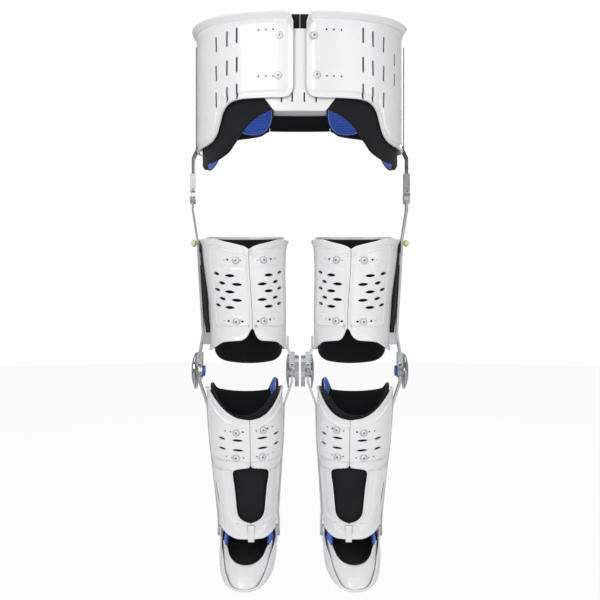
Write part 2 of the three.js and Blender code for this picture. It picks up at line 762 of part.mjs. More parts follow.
// The shin window: its rim is followed by a cutter whose outline is half of the opening
const windowTall = windowTop - windowBottom;
const windowRim = [
  { along: 0, up: 1.16 },
  { along: 0.12, up: 1.06 },
  { along: 0.5, up: 1.0 },
  { along: 0.88, up: 0.97 },
  { along: 1, up: 0.86 },
  { along: 0.93, up: 0.6 },
  { along: 0.84, up: 0.25 },
  { along: 0.6, up: 0.07 },
  { along: 0.25, up: 0.0 },
  { along: 0, up: -0.01 },
];
const seamX = (form, z) => form(seamAngle, z, 0).x;
function windowCutter(turn) {
  const middle = seamX(shankForm, (windowTop + windowBottom) / 2);
  const outline = windowRim.map((p) => new THREE.Vector2(
    middle + turn * p.along * windowHalf, windowBottom + p.up * windowTall));
  outline.unshift(new THREE.Vector2(middle - turn * 6, outline[0].y));
  outline.push(new THREE.Vector2(middle - turn * 6, outline[outline.length - 1].y));
  const depth = shankFront;
  const cutter = new THREE.ExtrudeGeometry(new THREE.Shape(outline), { depth, bevelEnabled: false });
  cutter.rotateX(Math.PI / 2);
  cutter.translate(0, legY - 20, 0);
  return cutter;
}
const shankSlots = [
  { angle: 17, z: shankShare(0.35), length: 18, tilt: 4 },
  { angle: 43, z: shankShare(0.332), length: 15, tilt: 13 },
  { angle: 17, z: shankShare(0.414), length: 18, tilt: 4 },
  { angle: 44, z: shankShare(0.397), length: 15, tilt: 13 },
];
for (const [name, turn] of [["outer", 1], ["inner", -1]]) {
  const cutters = [windowCutter(turn)];
  for (const { angle, z, length, tilt } of shankSlots) {
    cutters.push(slotCutter(shankForm, seamAngle + turn * angle, z, length, legSlotWidth * 0.8, turn * tilt));
  }
  addPair("shank_front_" + name, frontHalf(shankForm, turn, seamStart, shankLower, shankUpper, cutters),
    shellWhite);
}
addPair("shank_rear_shell", wall(shankForm, {
  angles: backSteps,
  bottom: backEdge([{ at: 0, z: shankShare(0.97) }, { at: 60, z: shankShare(0.95) }, { at: 95, z: shankShare(0.94) }]),
  top: backEdge([{ at: 0, z: shankShare(0.13) }, { at: 50, z: shankShare(0.09) }, { at: 95, z: shankShare(0.05) }]),
  outer: secondLeg, inner: secondLeg - legWall,
}), shellWhite);
addPair("shank_liner", wall(shankForm, {
  angles: ringAngles, closed: true, outer: foamLeg, inner: foamLeg - legFoam,
  bottom: ringEdge([{ at: 0, z: shankShare(0.985) }, { at: 60, z: shankShare(0.955) }, { at: 90, z: shankShare(0.935) },
    { at: 180, z: shankShare(0.965) }]),
  top: ringEdge([{ at: 0, z: shankShare(0.23) }, { at: 20, z: shankShare(0.2) }, { at: 40, z: shankShare(0.13) },
    { at: 60, z: shankShare(0.05) }, { at: 80, z: shankShare(0) }, { at: 100, z: shankShare(0) },
    { at: 140, z: shankShare(0.08) }, { at: 180, z: shankShare(0.1) }]),
}), foamBlack);
const kneePad = { angle: -98, z: shankShare(0.095), halfTurn: 20, halfHeight: 17 };
addPair("knee_pad", ovalPad(shankForm, kneePad, foamLeg - legFoam - layerGap, padThickness), padBlue);

// Tongue plate over the seam below the window
const tongueHalf = 5.5;
const tongueTop = windowBottom - 3;
const tongueBottom = shankBottom - 5;
addPair("tongue_plate", wall(shankForm, {
  angles: [-1, -0.33, 0.33, 1].map((s) => seamAngle + s * tongueHalf),
  bottom: () => tongueBottom, top: () => tongueTop,
  outer: clearance + 2, inner: clearance,
}), shellWhite);

// Shank uprights from the eye of the knee to the eye of the ankle
const shankStandOff = 1.6;
function shankBar(kneeX, ankleX, turn) {
  const beside = (z) => {
    const near = sideAt(shankForm, z, jointLine - barDepth * 0.4, turn);
    return near + turn * (shankStandOff + barThickness / 2);
  };
  const shares = [0.16, 0.4, 0.65, 0.88];
  const path = [{ x: kneeX, z: kneeHeight }, { x: kneeX, z: kneeHeight - headRadius - 8 }];
  for (const share of shares) path.push({ x: beside(shankShare(share)), z: shankShare(share) });
  path.push({ x: ankleX, z: ankleHeight + headRadius }, { x: ankleX, z: ankleHeight });
  const bar = join(
    barAlong(path.map((station) => ({ ...station, y: jointLine })), barThickness, barDepth * 0.8),
    discAt(kneeX - eyeHalf, kneeX + eyeHalf, headRadius, jointLine, kneeHeight),
    discAt(ankleX - eyeHalf, ankleX + eyeHalf, ankleRadius, jointLine, ankleHeight),
  );
  return withBore(withBore(bar, kneeX, jointLine, kneeHeight), ankleX, jointLine, ankleHeight);
}
addPair("shank_upright_outer", shankBar(kneeOuterX, ankleOuterX, 1), steel);
addPair("shank_upright_inner", shankBar(kneeInnerX, ankleInnerX, -1), steel);

// Foot, drawn level round the ankle axis and then tilted down with it
const footForm = makeForm([
  { z: -soleDepth, half: footWidth / 2 - 8, front: footLength - 9, back: heelLength - 7, x: 0, y: 0 },
  { z: -soleDepth + 8, half: footWidth / 2 - 1, front: footLength, back: heelLength, x: 0, y: 0 },
  { z: -soleDepth + 20, half: footWidth / 2, front: footLength * 0.95, back: heelLength, x: 0, y: 0 },
  { z: -soleDepth + 32, half: footWidth / 2 - 1, front: footLength * 0.72, back: heelLength - 1, x: 0, y: 0 },
  { z: -soleDepth + 60, half: footWidth / 2 - 5, front: footLength * 0.42, back: heelLength - 6, x: 0, y: 0 },
], 2.1, legStations);

// A cup: the wall of a form with a flat floor. Its faces are shared with the wall's rings.
function cup(form, { angles, bottom, floor, top, outer, inner }) {
  const points = [];
  const faces = [];
  const rows = form.levels.length + 1;
  const high = rows + 1;
  const ring = angles.length;
  for (const [offset, low] of [[outer, bottom], [inner, bottom + floor]]) {
    for (const angle of angles) {
      for (const z of columnHeights(form, low, top(angle))) points.push(form(angle, z, offset));
    }
  }
  const layer = ring * high;
  const quad = (a, b, c, d) => faces.push([a, b, c], [a, c, d]);
  for (let i = 0; i < ring; i++) {
    const here = i * high;
    const next = ((i + 1) % ring) * high;
    for (let j = 0; j < rows; j++) {
      quad(here + j, next + j, next + j + 1, here + j + 1);
      quad(layer + next + j, layer + here + j, layer + here + j + 1, layer + next + j + 1);
    }
    quad(here + rows, next + rows, layer + next + rows, layer + here + rows);
  }
  const under = points.push(form(0, bottom, 0).setX(0).setY(0)) - 1;
  const above = points.push(form(0, bottom + floor, 0).setX(0).setY(0)) - 1;
  for (let i = 0; i < ring; i++) {
    const next = (i + 1) % ring;
    faces.push([under, next * high, i * high], [above, layer + i * high, layer + next * high]);
  }
  return solidFrom(points, faces);
}
const soleZ = -soleDepth;
const footRim = ringEdge([
  { at: 0, z: soleZ + 8 }, { at: 20, z: soleZ + 10 }, { at: 40, z: soleZ + 22 }, { at: 60, z: soleZ + 32 },
  { at: 90, z: soleZ + 36 }, { at: 120, z: soleZ + 44 }, { at: 180, z: soleZ + 50 },
]);
const earHalf = 1.6;
const rivetHead = 2;
function ankleEar(eyeX, turn) {
  const x = eyeX - turn * (cheekStart + earHalf);
  const rivetStart = eyeX + turn * cheekStart;
  const pinEnd = rivetStart + turn * rivetHead;
  const pinLow = Math.min(x, pinEnd);
  const rivetLow = Math.min(rivetStart, pinEnd);
  return join(
    discAt(x - earHalf, x + earHalf, ankleRadius, 0, 0),
    blockAt(x - earHalf, x + earHalf, ankleRadius * 1.8, 0, soleZ + 22, 0),
    discAt(pinLow, pinLow + Math.abs(x - pinEnd), pinRadius, 0, 0, 8),
    discAt(rivetLow, rivetLow + rivetHead, pinRadius * 1.6, 0, 0, 8),
  ).translate(-shankAnkleCentre, 0, 0);
}
const footShell = join(
  cup(footForm, {
    angles: ringAngles, bottom: soleZ, floor: footWall, top: footRim, outer: 0, inner: -footWall,
  }),
  ankleEar(ankleOuterX, 1),
  ankleEar(ankleInnerX, -1),
);

// The instep shell stands inside the rim of the foot shell, from the toe to its U neckline
const instepOuter = -footWall - footGap;
const instepSteps = [-72, 72];
const instepShell = wall(footForm, {
  angles: instepSteps, outer: instepOuter, inner: instepOuter - footWall,
  bottom: edge([{ at: 0, z: soleZ + 6 }, { at: 72, z: soleZ + 6 }]),
  top: edge([{ at: 0, z: soleZ + 30 }, { at: 18, z: soleZ + 31 }, { at: 36, z: soleZ + 34 }, { at: 55, z: soleZ + 40 },
    { at: 72, z: soleZ + 40 }]),
});
const footLinerOuter = instepOuter - footWall - footGap;
const footLiner = cup(footForm, {
  angles: ringAngles, bottom: soleZ + footWall + clearance, floor: footFoam,
  outer: footLinerOuter, inner: footLinerOuter - footFoam,
  top: ringEdge([{ at: 0, z: soleZ + 27 }, { at: 40, z: soleZ + 32 }, { at: 90, z: soleZ + 38 },
    { at: 180, z: soleZ + 50 }]),
});
const anklePad = { z: -14, halfTurn: 14, halfHeight: 13 };
const anklePadThickness = 4;
const pads = [["outer", 82], ["inner", -82]].map(([name, angle]) => [
  "ankle_pad_" + name,
  ovalPad(footForm, { ...anklePad, angle }, footLinerOuter - footFoam - layerGap, anklePadThickness),
]);

for (const [side, turn] of [["left", 1], ["right", -1]]) {
  const foot = new THREE.Group();
  foot.position.set(turn * shankAnkleCentre, jointLine, ankleHeight);
  foot.rotation.x = radians(footDrop);
  const shaped = (geometry) => (turn > 0 ? geometry : mirrored(geometry));
  addPiece("foot_shell_" + side, shaped(footShell), shellWhite, foot);
  addPiece("instep_shell_" + side, shaped(instepShell), shellWhite, foot);
  addPiece("foot_liner_" + side, shaped(footLiner), foamBlack, foot);
  for (const [name, geometry] of pads) addPiece(name + "_" + side, shaped(geometry), padBlue, foot);
  object.add(foot);
}

export default object;
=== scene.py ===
import bpy
import bmesh
import math
from mathutils import Matrix, Vector


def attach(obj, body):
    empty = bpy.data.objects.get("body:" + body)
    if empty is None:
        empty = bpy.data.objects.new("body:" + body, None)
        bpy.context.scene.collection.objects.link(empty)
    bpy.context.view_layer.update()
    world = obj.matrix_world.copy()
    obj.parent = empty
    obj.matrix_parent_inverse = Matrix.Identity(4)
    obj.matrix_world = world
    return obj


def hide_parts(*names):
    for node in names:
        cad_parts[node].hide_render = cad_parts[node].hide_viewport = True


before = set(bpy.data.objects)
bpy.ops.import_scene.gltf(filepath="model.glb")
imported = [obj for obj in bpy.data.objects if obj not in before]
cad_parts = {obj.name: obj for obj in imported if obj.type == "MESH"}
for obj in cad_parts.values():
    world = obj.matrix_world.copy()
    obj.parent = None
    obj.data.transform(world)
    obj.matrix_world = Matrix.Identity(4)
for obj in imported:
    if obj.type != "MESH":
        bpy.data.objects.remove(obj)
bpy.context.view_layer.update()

# Studio: the orthosis hangs as if worn, over a wide white floor in white air. Soft panels in
# front, behind and above leave long white streaks on the gloss shells.


def linear(code):
    values = [int(code[i:i + 2], 16) / 255 for i in (1, 3, 5)]
    return [v / 12.92 if v <= 0.04045 else ((v + 0.055) / 1.055) ** 2.4 for v in values] + [1.0]


def output_of(source):
    """A socket as it is, or the first live output of a node."""
    return next(s for s in source.outputs if s.enabled) if isinstance(source, bpy.types.Node) else source


def add(tree, kind, settings=None, links=None):
    node = tree.nodes.new(kind)
    for name, value in (settings or {}).items():
        if isinstance(name, int) or name in node.inputs:
            node.inputs[name].default_value = value
        else:
            setattr(node, name, value)
    for name, source in (links or {}).items():
        tree.links.new(output_of(source), node.inputs[name])
    return node


def new_material(name):
    material = bpy.data.materials.new(name)
    material.use_nodes = True
    tree = material.node_tree
    return material, tree, tree.nodes["Principled BSDF"]


def new_object(name, data):
    item = bpy.data.objects.new(name, data)
    bpy.context.scene.collection.objects.link(item)
    return item


def circle(count):
    """Angles all the way round, in radians."""
    return [2 * math.pi * k / count for k in range(count)]


floor_z, floor_radius, floor_sides = -0.972, 6, 64
paper = bpy.data.meshes.new("studio_floor")
paper.from_pydata([(floor_radius * math.cos(a), floor_radius * math.sin(a), floor_z) for a in circle(floor_sides)],
                  [], [tuple(range(floor_sides))])
matt_paper, tree, shader = new_material("matt_studio_paper")
shader.inputs["Base Color"].default_value = linear("#fbfbfb")
shader.inputs["Roughness"].default_value = 0.9
glow = add(tree, "ShaderNodeEmission", {"Color": (1, 1, 1, 1), "Strength": 1.0})
path = add(tree, "ShaderNodeLightPath")
part = add(tree, "ShaderNodeMath", {"operation": "MULTIPLY", 1: 0.94}, {0: path.outputs["Is Camera Ray"]})
seen = add(tree, "ShaderNodeMixShader", links={"Fac": part, 1: shader, 2: glow})
tree.links.new(seen.outputs["Shader"], tree.nodes["Material Output"].inputs["Surface"])
paper.materials.append(matt_paper)
floor = new_object("studio_floor", paper)

for name, place, aim, size, power in (
    ("key_panel", (-0.9, -1.9, 0.7), (0, 0, -0.35), 1.1, 19),
    ("fill_panel", (1.3, -1.6, 0.1), (0, 0, -0.45), 1.3, 7),
    ("low_panel", (0.1, -2.1, -0.75), (0, 0, -0.6), 0.9, 3),
    ("top_panel", (0, -0.2, 1.5), (0, 0, -0.2), 1.6, 11),
    ("rear_panel", (0.7, 2.1, 0.5), (0, 0, -0.4), 1.4, 13),
):
    light = bpy.data.lights.new(name, "AREA")
    light.shape = "SQUARE"
    light.size = size
    light.energy = power
    lamp = new_object(name, light)
    lamp.location = place
    lamp.rotation_euler = (Vector(aim) - Vector(place)).to_track_quat("-Z", "Y").to_euler()
world = bpy.data.worlds.new("studio_air")
world.use_nodes = True
air = world.node_tree
path = add(air, "ShaderNodeLightPath")
glare = add(air, "ShaderNodeMapRange", {"To Min": 0.33, "To Max": 1.0}, {"Value": path.outputs["Is Camera Ray"]})
air.nodes["Background"].inputs["Color"].default_value = (1, 1, 1, 1)
air.links.new(output_of(glare), air.nodes["Background"].inputs["Strength"])
bpy.context.scene.world = world
bpy.context.scene.view_settings.view_transform = "Standard"

photo_size, focal_pixels = 600, 811
view = bpy.data.cameras.new("photo_view")
view.sensor_width = 36
view.lens = focal_pixels / photo_size * view.sensor_width
camera = new_object("photo_view", view)
camera.location = (0.0001, -1.5, -0.4)
camera.rotation_euler = (math.radians(90), 0, 0)
bpy.context.scene.camera = camera

# Pelvic half shells: glossy white thermoplastic, vacuum formed over a last and trimmed. Each
# has a raised panel inside a lower border, upright vents cut right through, rows of holes for
# setting the waist, and a fourth short vent column on the wearer's left.


def curve(rows):
    """A smooth curve through rows of (at, value) that never overshoots them."""
    rows = sorted(rows)
    slopes = [(rows[i + 1][1] - rows[i][1]) / (rows[i + 1][0] - rows[i][0]) for i in range(len(rows) - 1)]
    leans = [0.0] * len(rows)
    for i in range(1, len(rows) - 1):
        a, b = slopes[i - 1], slopes[i]
        leans[i] = 2 * a * b / (a + b) if a * b > 0 else 0.0

    def value(at):
        if at <= rows[0][0]:
            return rows[0][1]
        if at >= rows[-1][0]:
            return rows[-1][1]
        i = max(k for k in range(len(rows) - 1) if rows[k][0] <= at)
        span = rows[i + 1][0] - rows[i][0]
        t = (at - rows[i][0]) / span
        return ((2 * t ** 3 - 3 * t ** 2 + 1) * rows[i][1] + (t ** 3 - 2 * t ** 2 + t) * span * leans[i]
                + (3 * t ** 2 - 2 * t ** 3) * rows[i + 1][1] + (t ** 3 - t ** 2) * span * leans[i + 1])
    return value


def mix(a, b, share):
    return a + (b - a) * share


def smooth(low, high, at):
    t = min(1.0, max(0.0, (at - low) / (high - low)))
    return t * t * (3 - 2 * t)


def make_form(rows, power):
    """Superellipse sections by height, in millimetres: rows of z, half, front, back, x, y."""
    parts = [curve([(row[0], row[k]) for row in rows]) for k in range(1, 6)]

    def form(angle, z, offset=0.0):
        s, c = math.sin(math.radians(angle)), math.cos(math.radians(angle))
        half, front, back, x, y = [part(z) for part in parts]
        depth = (front if c > 0 else back) + offset
        return Vector((x + (half + offset) * math.copysign(abs(s) ** (2 / power), s),
                       y - depth * math.copysign(abs(c) ** (2 / power), c), z))
    return form


def normal_at(form, angle, z):
    along = form(angle + 0.4, z) - form(angle - 0.4, z)
    up = form(angle, z + 1) - form(angle, z - 1)
    return along.cross(up).normalized()


def spaced(form, start, end, z, step, edges):
    """Angles from start to end at even steps of arc, with closer ones at the ends, and their
    distance in millimetres from each end."""
    steps = 600
    fine = [start + (end - start) * i / steps for i in range(steps + 1)]
    run = [0.0]
    for i in range(steps):
        run.append(run[-1] + (form(fine[i + 1], z) - form(fine[i], z)).length)
    total = run[-1]
    count = max(2, round((total - 2 * edges[-1]) / step)) if edges else round(total / step)
    first, last = (edges[-1], total - edges[-1]) if edges else (0.0, total)
    wanted = [first + (last - first) * i / count for i in range(count + 1)]
    if edges:
        wanted = list(edges[:-1]) + wanted + [total - e for e in reversed(edges[:-1])]
    found, k = [], 0
    for want in wanted:
        while k < steps - 1 and run[k + 1] < want:
            k += 1
        share = (want - run[k]) / max(1e-9, run[k + 1] - run[k])
        found.append((fine[k] + (fine[k + 1] - fine[k]) * share, want, total - want))
    return found


def mesh_of(name, solid):
    """A finished bmesh as mesh data, with its normals outward."""
    bmesh.ops.recalc_face_normals(solid, faces=solid.faces)
    data = bpy.data.meshes.new(name)
    solid.to_mesh(data)
    solid.free()
    return data


def quad(mesh, uv, corners):
    """One smooth face over (vertex, UV) corners."""
    made = mesh.faces.new([vertex for vertex, _ in corners])
    made.smooth = True
    for loop, (_, place) in zip(made.loops, corners):
        loop[uv].uv = place


def bridge(mesh, low, high, smooth=True):
    """Faces all round between two rings of the same count."""
    for k in range(len(low)):
        n = (k + 1) % len(low)
        mesh.faces.new((low[k], low[n], high[n], high[k])).smooth = smooth


def prism(ring, offset):
    """Corners in metres and faces of a prism: a ring and the same ring an offset further on."""
    count = len(ring)
    faces = [tuple(reversed(range(count))), tuple(range(count, 2 * count))]
    faces += [(k, (k + 1) % count, count + (k + 1) % count, count + k) for k in range(count)]
    return [(p + move) / 1000 for move in (Vector(), offset) for p in ring], faces


def shell(name, form, start, end, bottom, top, outer, inner, step=2.2, relief=None, inside=None,
          rim=1.1, closed=False):
    """A wall of a form between two offsets with rounded edges, in metres. relief adds to the
    outer face and inside to the inner one: both take angle, z and the four edge distances."""
    marks = [0.0, rim * 0.12, rim * 0.45, rim]
    middle = (bottom((start + end) / 2) + top((start + end) / 2)) / 2
    columns = spaced(form, start, end, middle, step, None if closed else marks)
    if closed:
        columns = columns[:-1]
    tall = max(top(a) - bottom(a) for a, _, _ in columns)
    rows = max(3, round(tall / step))
    mesh = bmesh.new()
    uv = mesh.loops.layers.uv.new("surface")
    grids = {}
    for side, offset in (("out", outer), ("in", inner)):
        grid = []
        for a, from_start, from_end in columns:
            low, high = bottom(a), top(a)
            ds = max(1e-6, (form(a + 0.5, low) - form(a - 0.5, low)).length)
            steep_low = math.sqrt(1 + min(36.0, ((bottom(a + 0.5) - bottom(a - 0.5)) / ds) ** 2))
            steep_high = math.sqrt(1 + min(36.0, ((top(a + 0.5) - top(a - 0.5)) / ds) ** 2))
            low_marks = [low + m * steep_low for m in marks]
            high_marks = [high - m * steep_high for m in reversed(marks)]
            inner_rows = [low_marks[-1] + (high_marks[0] - low_marks[-1]) * j / rows for j in range(rows + 1)]
            heights = low_marks[:-1] + inner_rows + high_marks[1:]
            line = []
            for z in heights:
                from_low, from_high = (z - low) / steep_low, (high - z) / steep_high
                near = min(from_low, from_high) if closed else min(from_low, from_high, from_start, from_end)
                sunk = rim - math.sqrt(max(0.0, rim ** 2 - (rim - near) ** 2)) if near < rim else 0.0
                extra = relief if side == "out" else inside
                lift = extra(a, z, from_start, from_end, from_low, from_high) if extra else 0.0
                place = form(a, z, offset + lift - (sunk if side == "out" else -sunk))
                line.append((mesh.verts.new(place / 1000), (from_start / 1000, z / 1000)))
            grid.append(line)
        grids[side] = grid
    out, back = grids["out"], grids["in"]
    count, high = len(out), len(out[0])

    def face(*corners):
        quad(mesh, uv, corners)
    for i in range(count if closed else count - 1):
        k = (i + 1) % count
        for j in range(high - 1):
            face(out[i][j], out[k][j], out[k][j + 1], out[i][j + 1])
            face(back[k][j], back[i][j], back[i][j + 1], back[k][j + 1])
        face(back[i][0], back[k][0], out[k][0], out[i][0])
        face(out[i][-1], out[k][-1], back[k][-1], back[i][-1])
    if not closed:
        for j in range(high - 1):
            face(back[0][j], out[0][j], out[0][j + 1], back[0][j + 1])
            face(out[-1][j], back[-1][j], back[-1][j + 1], out[-1][j + 1])
    return new_object(name, mesh_of(name, mesh))


def slot_shape(form, angle, z, length, width, tilt, pointed=False, reach=9):
    """Corners and faces of a round-ended or lens-shaped prism through the wall of a form."""
    here = form(angle, z)
    out = normal_at(form, angle, z)
    across = Vector((0, 0, 1)).cross(out).normalized()
    up = out.cross(across)
    turn = math.radians(tilt)
    long_way = across * math.cos(turn) + up * math.sin(turn)
    wide_way = up * math.cos(turn) - across * math.sin(turn)
    ring = []
    for end in (1, -1):
        for step in range(9):
            a = math.radians(-90 + 180 * step / 8)
            ring.append(end * ((length - width) / 2 * long_way
                               + width / 2 * (math.cos(a) * long_way + math.sin(a) * wide_way)))
    if pointed:
        ring = [length / 2 * math.cos(math.pi * k / 12) * long_way
                + width / 2 * math.sin(math.pi * k / 12) * abs(math.sin(math.pi * k / 12)) ** 0.35 * wide_way
                for k in range(24)]
    if length == width:
        ring = [width / 2 * (math.cos(math.pi * k / 8) * long_way + math.sin(math.pi * k / 8) * wide_way)
                for k in range(16)]
    return prism([here + p - out * reach for p in ring], out * (2 * reach))


def baked(item):
    """The object's mesh with its modifiers applied and removed."""
    graph = bpy.context.evaluated_depsgraph_get()
    mesh = bpy.data.meshes.new_from_object(item.evaluated_get(graph), depsgraph=graph)
    item.modifiers.clear()
    old = item.data
    item.data = mesh
    bpy.data.meshes.remove(old)
    return item


crease = math.radians(38)


def pierce(item, shapes):
    """Cuts prisms right through an object."""
    corners, faces = [], []
    for own, ring in shapes:
        faces += [tuple(len(corners) + k for k in f) for f in ring]
        corners += own
    rough = bpy.data.meshes.new("cutters")
    rough.from_pydata(corners, [], faces)
    solid = bmesh.new()
    solid.from_mesh(rough)
    tool = new_object("cutters", mesh_of("cutters", solid))
    cut = item.modifiers.new("cut", "BOOLEAN")
    cut.operation = "DIFFERENCE"
    cut.solver = "EXACT"
    cut.object = tool
    baked(item)
    bpy.data.objects.remove(tool)
    item.data.set_sharp_from_angle(angle=crease)
    return item


def ready(item, finish, body, *nodes):
    """Gives a finished piece its material, its body and the nodes it stands for."""
    material, slot = finish
    item.data.materials.clear()
    item.data.materials.append(material)
    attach(item, body)
    if nodes:
        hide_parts(*nodes)
    return item


def mirror(item, name):
    """The same piece for the other side."""
    mesh = item.data.copy()
    mesh.transform(Matrix.Scale(-1, 4, (1, 0, 0)))
    mesh.flip_normals()
    mesh.name = name
    return new_object(name, mesh)


def pair(item, name, finish, body, node=None, fill=None):
    """A finished left piece and its mirrored twin. A body or node that ends in an underscore takes the side's name.
    fill is not used."""
    twin = mirror(item, name + "_right")
    for piece, side in ((item, "left"), (twin, "right")):
        ready(piece, finish, body + side if body.endswith("_") else body, *([node + side] if node else []))


def noise(tree, scale, detail, **settings):
    """Noise fixed to the piece."""
    return add(tree, "ShaderNodeTexNoise", {"Scale": scale, "Detail": detail, **settings},
               {"Vector": add(tree, "ShaderNodeTexCoord").outputs["Object"]})


def ramp(tree, value, low, high, at_low, at_high):
    """A value taken from one range to another."""
    return add(tree, "ShaderNodeMapRange", {"From Min": low, "From Max": high, "To Min": at_low, "To Max": at_high},
               {"Value": value})


def plug(tree, value, socket):
    """Links a node or an output to a socket, or sets it to a plain value or a colour's code."""
    if isinstance(value, (bpy.types.Node, bpy.types.NodeSocket)):
        tree.links.new(output_of(value), socket)
    else:
        socket.default_value = linear(value) if isinstance(value, str) else value


def maths(tree, operation, *values):
    """A sum on nodes, outputs or plain numbers."""
    node = add(tree, "ShaderNodeMath", {"operation": operation})
    for k, value in enumerate(values):
        plug(tree, value, node.inputs[k])
    return node


def blend(tree, factor, first, second):
    """A colour between two, each a code or a node."""
    node = add(tree, "ShaderNodeMix", {"data_type": "RGBA"}, {"Factor": factor})
    plug(tree, first, node.inputs["A"])
    plug(tree, second, node.inputs["B"])
    return node


def dress(tree, shader, bump, **sockets):
    """Wires a shader up: bump is (strength, distance, height), and each socket of the shader
    takes a node or a plain value, with its name in lower case and underscores."""
    strength, distance, height = bump
    relief = add(tree, "ShaderNodeBump", {"Strength": strength, "Distance": distance}, {"Height": height})
    for name, value in {"normal": relief, **sockets}.items():
        plug(tree, value, next(s for s in shader.inputs if s.name.lower().replace(" ", "_") == name))


# Gloss white: a formed sheet, so it has a faint orange peel, soft drift in its shine, and a
# greyer tone where hands and straps rub its edges and corners.
gloss_white, tree, shader = new_material("vacuum_formed_gloss_plastic")
scuffs = noise(tree, 90.0, 6.0, Roughness=0.7)
worn = ramp(tree, add(tree, "ShaderNodeNewGeometry").outputs["Pointiness"], 0.53, 0.62, 0.0, 0.35)
rubbed = maths(tree, "MULTIPLY", worn, scuffs)
clean = blend(tree, noise(tree, 9.0, 3.0), "#f6f7f7", "#eef0f1")
# Painted shade: an ambient occlusion mask greys the colour in the grooves, beside the raised panels and round the
# screws, where shade falls.
painted_recess_shade = add(tree, "ShaderNodeAmbientOcclusion", {"Distance": 0.012}).outputs["AO"]
colour_with_painted_shade = blend(tree, ramp(tree, painted_recess_shade, 0.35, 0.85, 0.8, 0.0), blend(tree, rubbed, clean, "#d9dadb"), "#8d9092")
dress(tree, shader, (0.06, 0.0004, noise(tree, 260.0, 2.0)), base_color=colour_with_painted_shade,
      roughness=ramp(tree, scuffs, 0.3, 0.7, 0.16, 0.3), coat_weight=0.35, coat_roughness=0.08)
white = (gloss_white, "white_shell")

second_layer = (-4.15, -7.55)
band_form = make_form([(-171, 187, 125, 112, 0, 0), (66, 187, 125, 112, 0, 0),
                       (88, 191, 129, 116, 0, 0)], 2.4)
panel_low, wing_low = -56, -131
panel_start = math.degrees(math.asin((11 / 187) ** 1.2))
shell_low = curve([(panel_start, -40), (2.8, -50), (4.5, -54.8), (7, -56), (27, -56)] + [
    (at, mix(panel_low, wing_low, share)) for at, share in (
        (34, 0.03), (38, 0.09), (42, 0.24), (45, 0.5), (48, 0.74), (54, 0.91), (64, 0.98), (90, 1), (105, 0.96))])
shell_high = curve([(panel_start, 72), (2.6, 82), (3.8, 86.5), (6, 88), (100, 88)])


def panel_relief(angle, z, from_start, from_end, from_low, from_high):
    near = min(from_start, from_high, from_low)
    flare = 6.5 * (1 - smooth(0, 10.5, from_high)) + 2.2 * (1 - smooth(0, 8, min(from_start, from_low)))
    return 2.1 * smooth(9.5, 12.5, near) + flare


half = shell("pelvis_half", band_form, panel_start, 104, shell_low, shell_high, 0, -3.4, relief=panel_relief)
vents = []
for angle, high, tilt in ((31, 53, 0), (38, 49, 1), (47, 43, -2)):
    for drop in (0, -50, -96):
        vents.append(slot_shape(band_form, angle, high + drop, 27, 3.4, 90 + tilt))
for z in (59, -20):
    for angle in (10.5, 14, 18):
        vents.append(slot_shape(band_form, angle, z, 3.4, 3.4, 0))
side_vents = [slot_shape(band_form, 59, z, 22, 3.2, 90) for z in (22, -13)]
other = mirror(half, "pelvis_half_shell_right")
half.name = "pelvis_half_shell_left"
pierce(half, vents + side_vents)
right_vents = [([Vector((-p.x, p.y, p.z)) for p in corners], faces) for corners, faces in vents]
pierce(other, right_vents)
ready(half, white, "pelvis", "pelvis_shell_left")
ready(other, white, "pelvis", "pelvis_shell_right")

# Centre plate and rear shell: the same white sheet, one layer further in. The plate bridges
# the gap between the half shells and has four short slots along its lower edge; the ends of
# the rear shell pass under the half shells, where they are riveted.


def folded(table):
    return lambda angle: table(360 - angle if angle > 180 else abs(angle))


plate_low = folded(curve([(0, -78), (9.5, -78), (14.5, -60), (17, -50), (24, -40)]))
plate = shell("pelvis_centre_plate_formed", band_form, -24, 24, plate_low, lambda a: 62, *second_layer)
pierce(plate, [slot_shape(band_form, a, z, length, 2.6, 90) for a, z, length in (
    (-6.8, -58, 12), (-2.4, -55, 17), (1.2, -55, 17), (5.8, -58, 12))])
ready(plate, white, "pelvis", "pelvis_centre_plate")

rear_low = folded(curve([(70, -123.5), (104, -119.8), (118, -106), (132, -78), (148, -60), (180, -60)]))
rear_high = folded(curve([(70, 80), (90, 84), (110, 88), (180, 88)]))


def rear_relief(angle, z, from_start, from_end, from_low, from_high):
    ridge = smooth(26, 34, abs(angle - 180)) * (1 - smooth(48, 56, abs(angle - 180)))
    return 1.6 * ridge * smooth(12, 24, min(from_low, from_high)) + 1.2 * smooth(9, 13, min(from_low, from_high))


rear = shell("pelvis_rear_shell_formed", band_form, 72, 288, rear_low, rear_high, *second_layer, step=4,
             relief=rear_relief)
ready(rear, white, "pelvis", "pelvis_rear_shell")

# Foam lining: black closed-cell foam laminated with a knitted face, about 5 mm thick, bonded
# inside the shells. It shows as a wide soft margin round the leg openings, where its edge is
# bound, and it is a shade lighter where the knit catches the light.
knit_black, tree, shader = new_material("laminated_knit_foam")
place = add(tree, "ShaderNodeUVMap", {"uv_map": "surface"})
loops, rows = [add(tree, "ShaderNodeTexWave", {"wave_type": "BANDS", "bands_direction": way, "Scale": scale,
                                               "Distortion": bend, "Detail": 1.0}, {"Vector": place}).outputs["Fac"]
               for way, scale, bend in (("X", 190.0, 3.0), ("Y", 150.0, 2.0))]
knit = maths(tree, "MULTIPLY", loops, rows)
press = noise(tree, 22.0, 4.0)
height = maths(tree, "MULTIPLY_ADD", press, 0.5, knit)
dress(tree, shader, (0.5, 0.0005, height), base_color=blend(tree, press, "#0c0d0f", "#1d1f22"), roughness=0.9,
      sheen_weight=0.12, specular_ior_level=0.3)
foam = (knit_black, "black_foam")


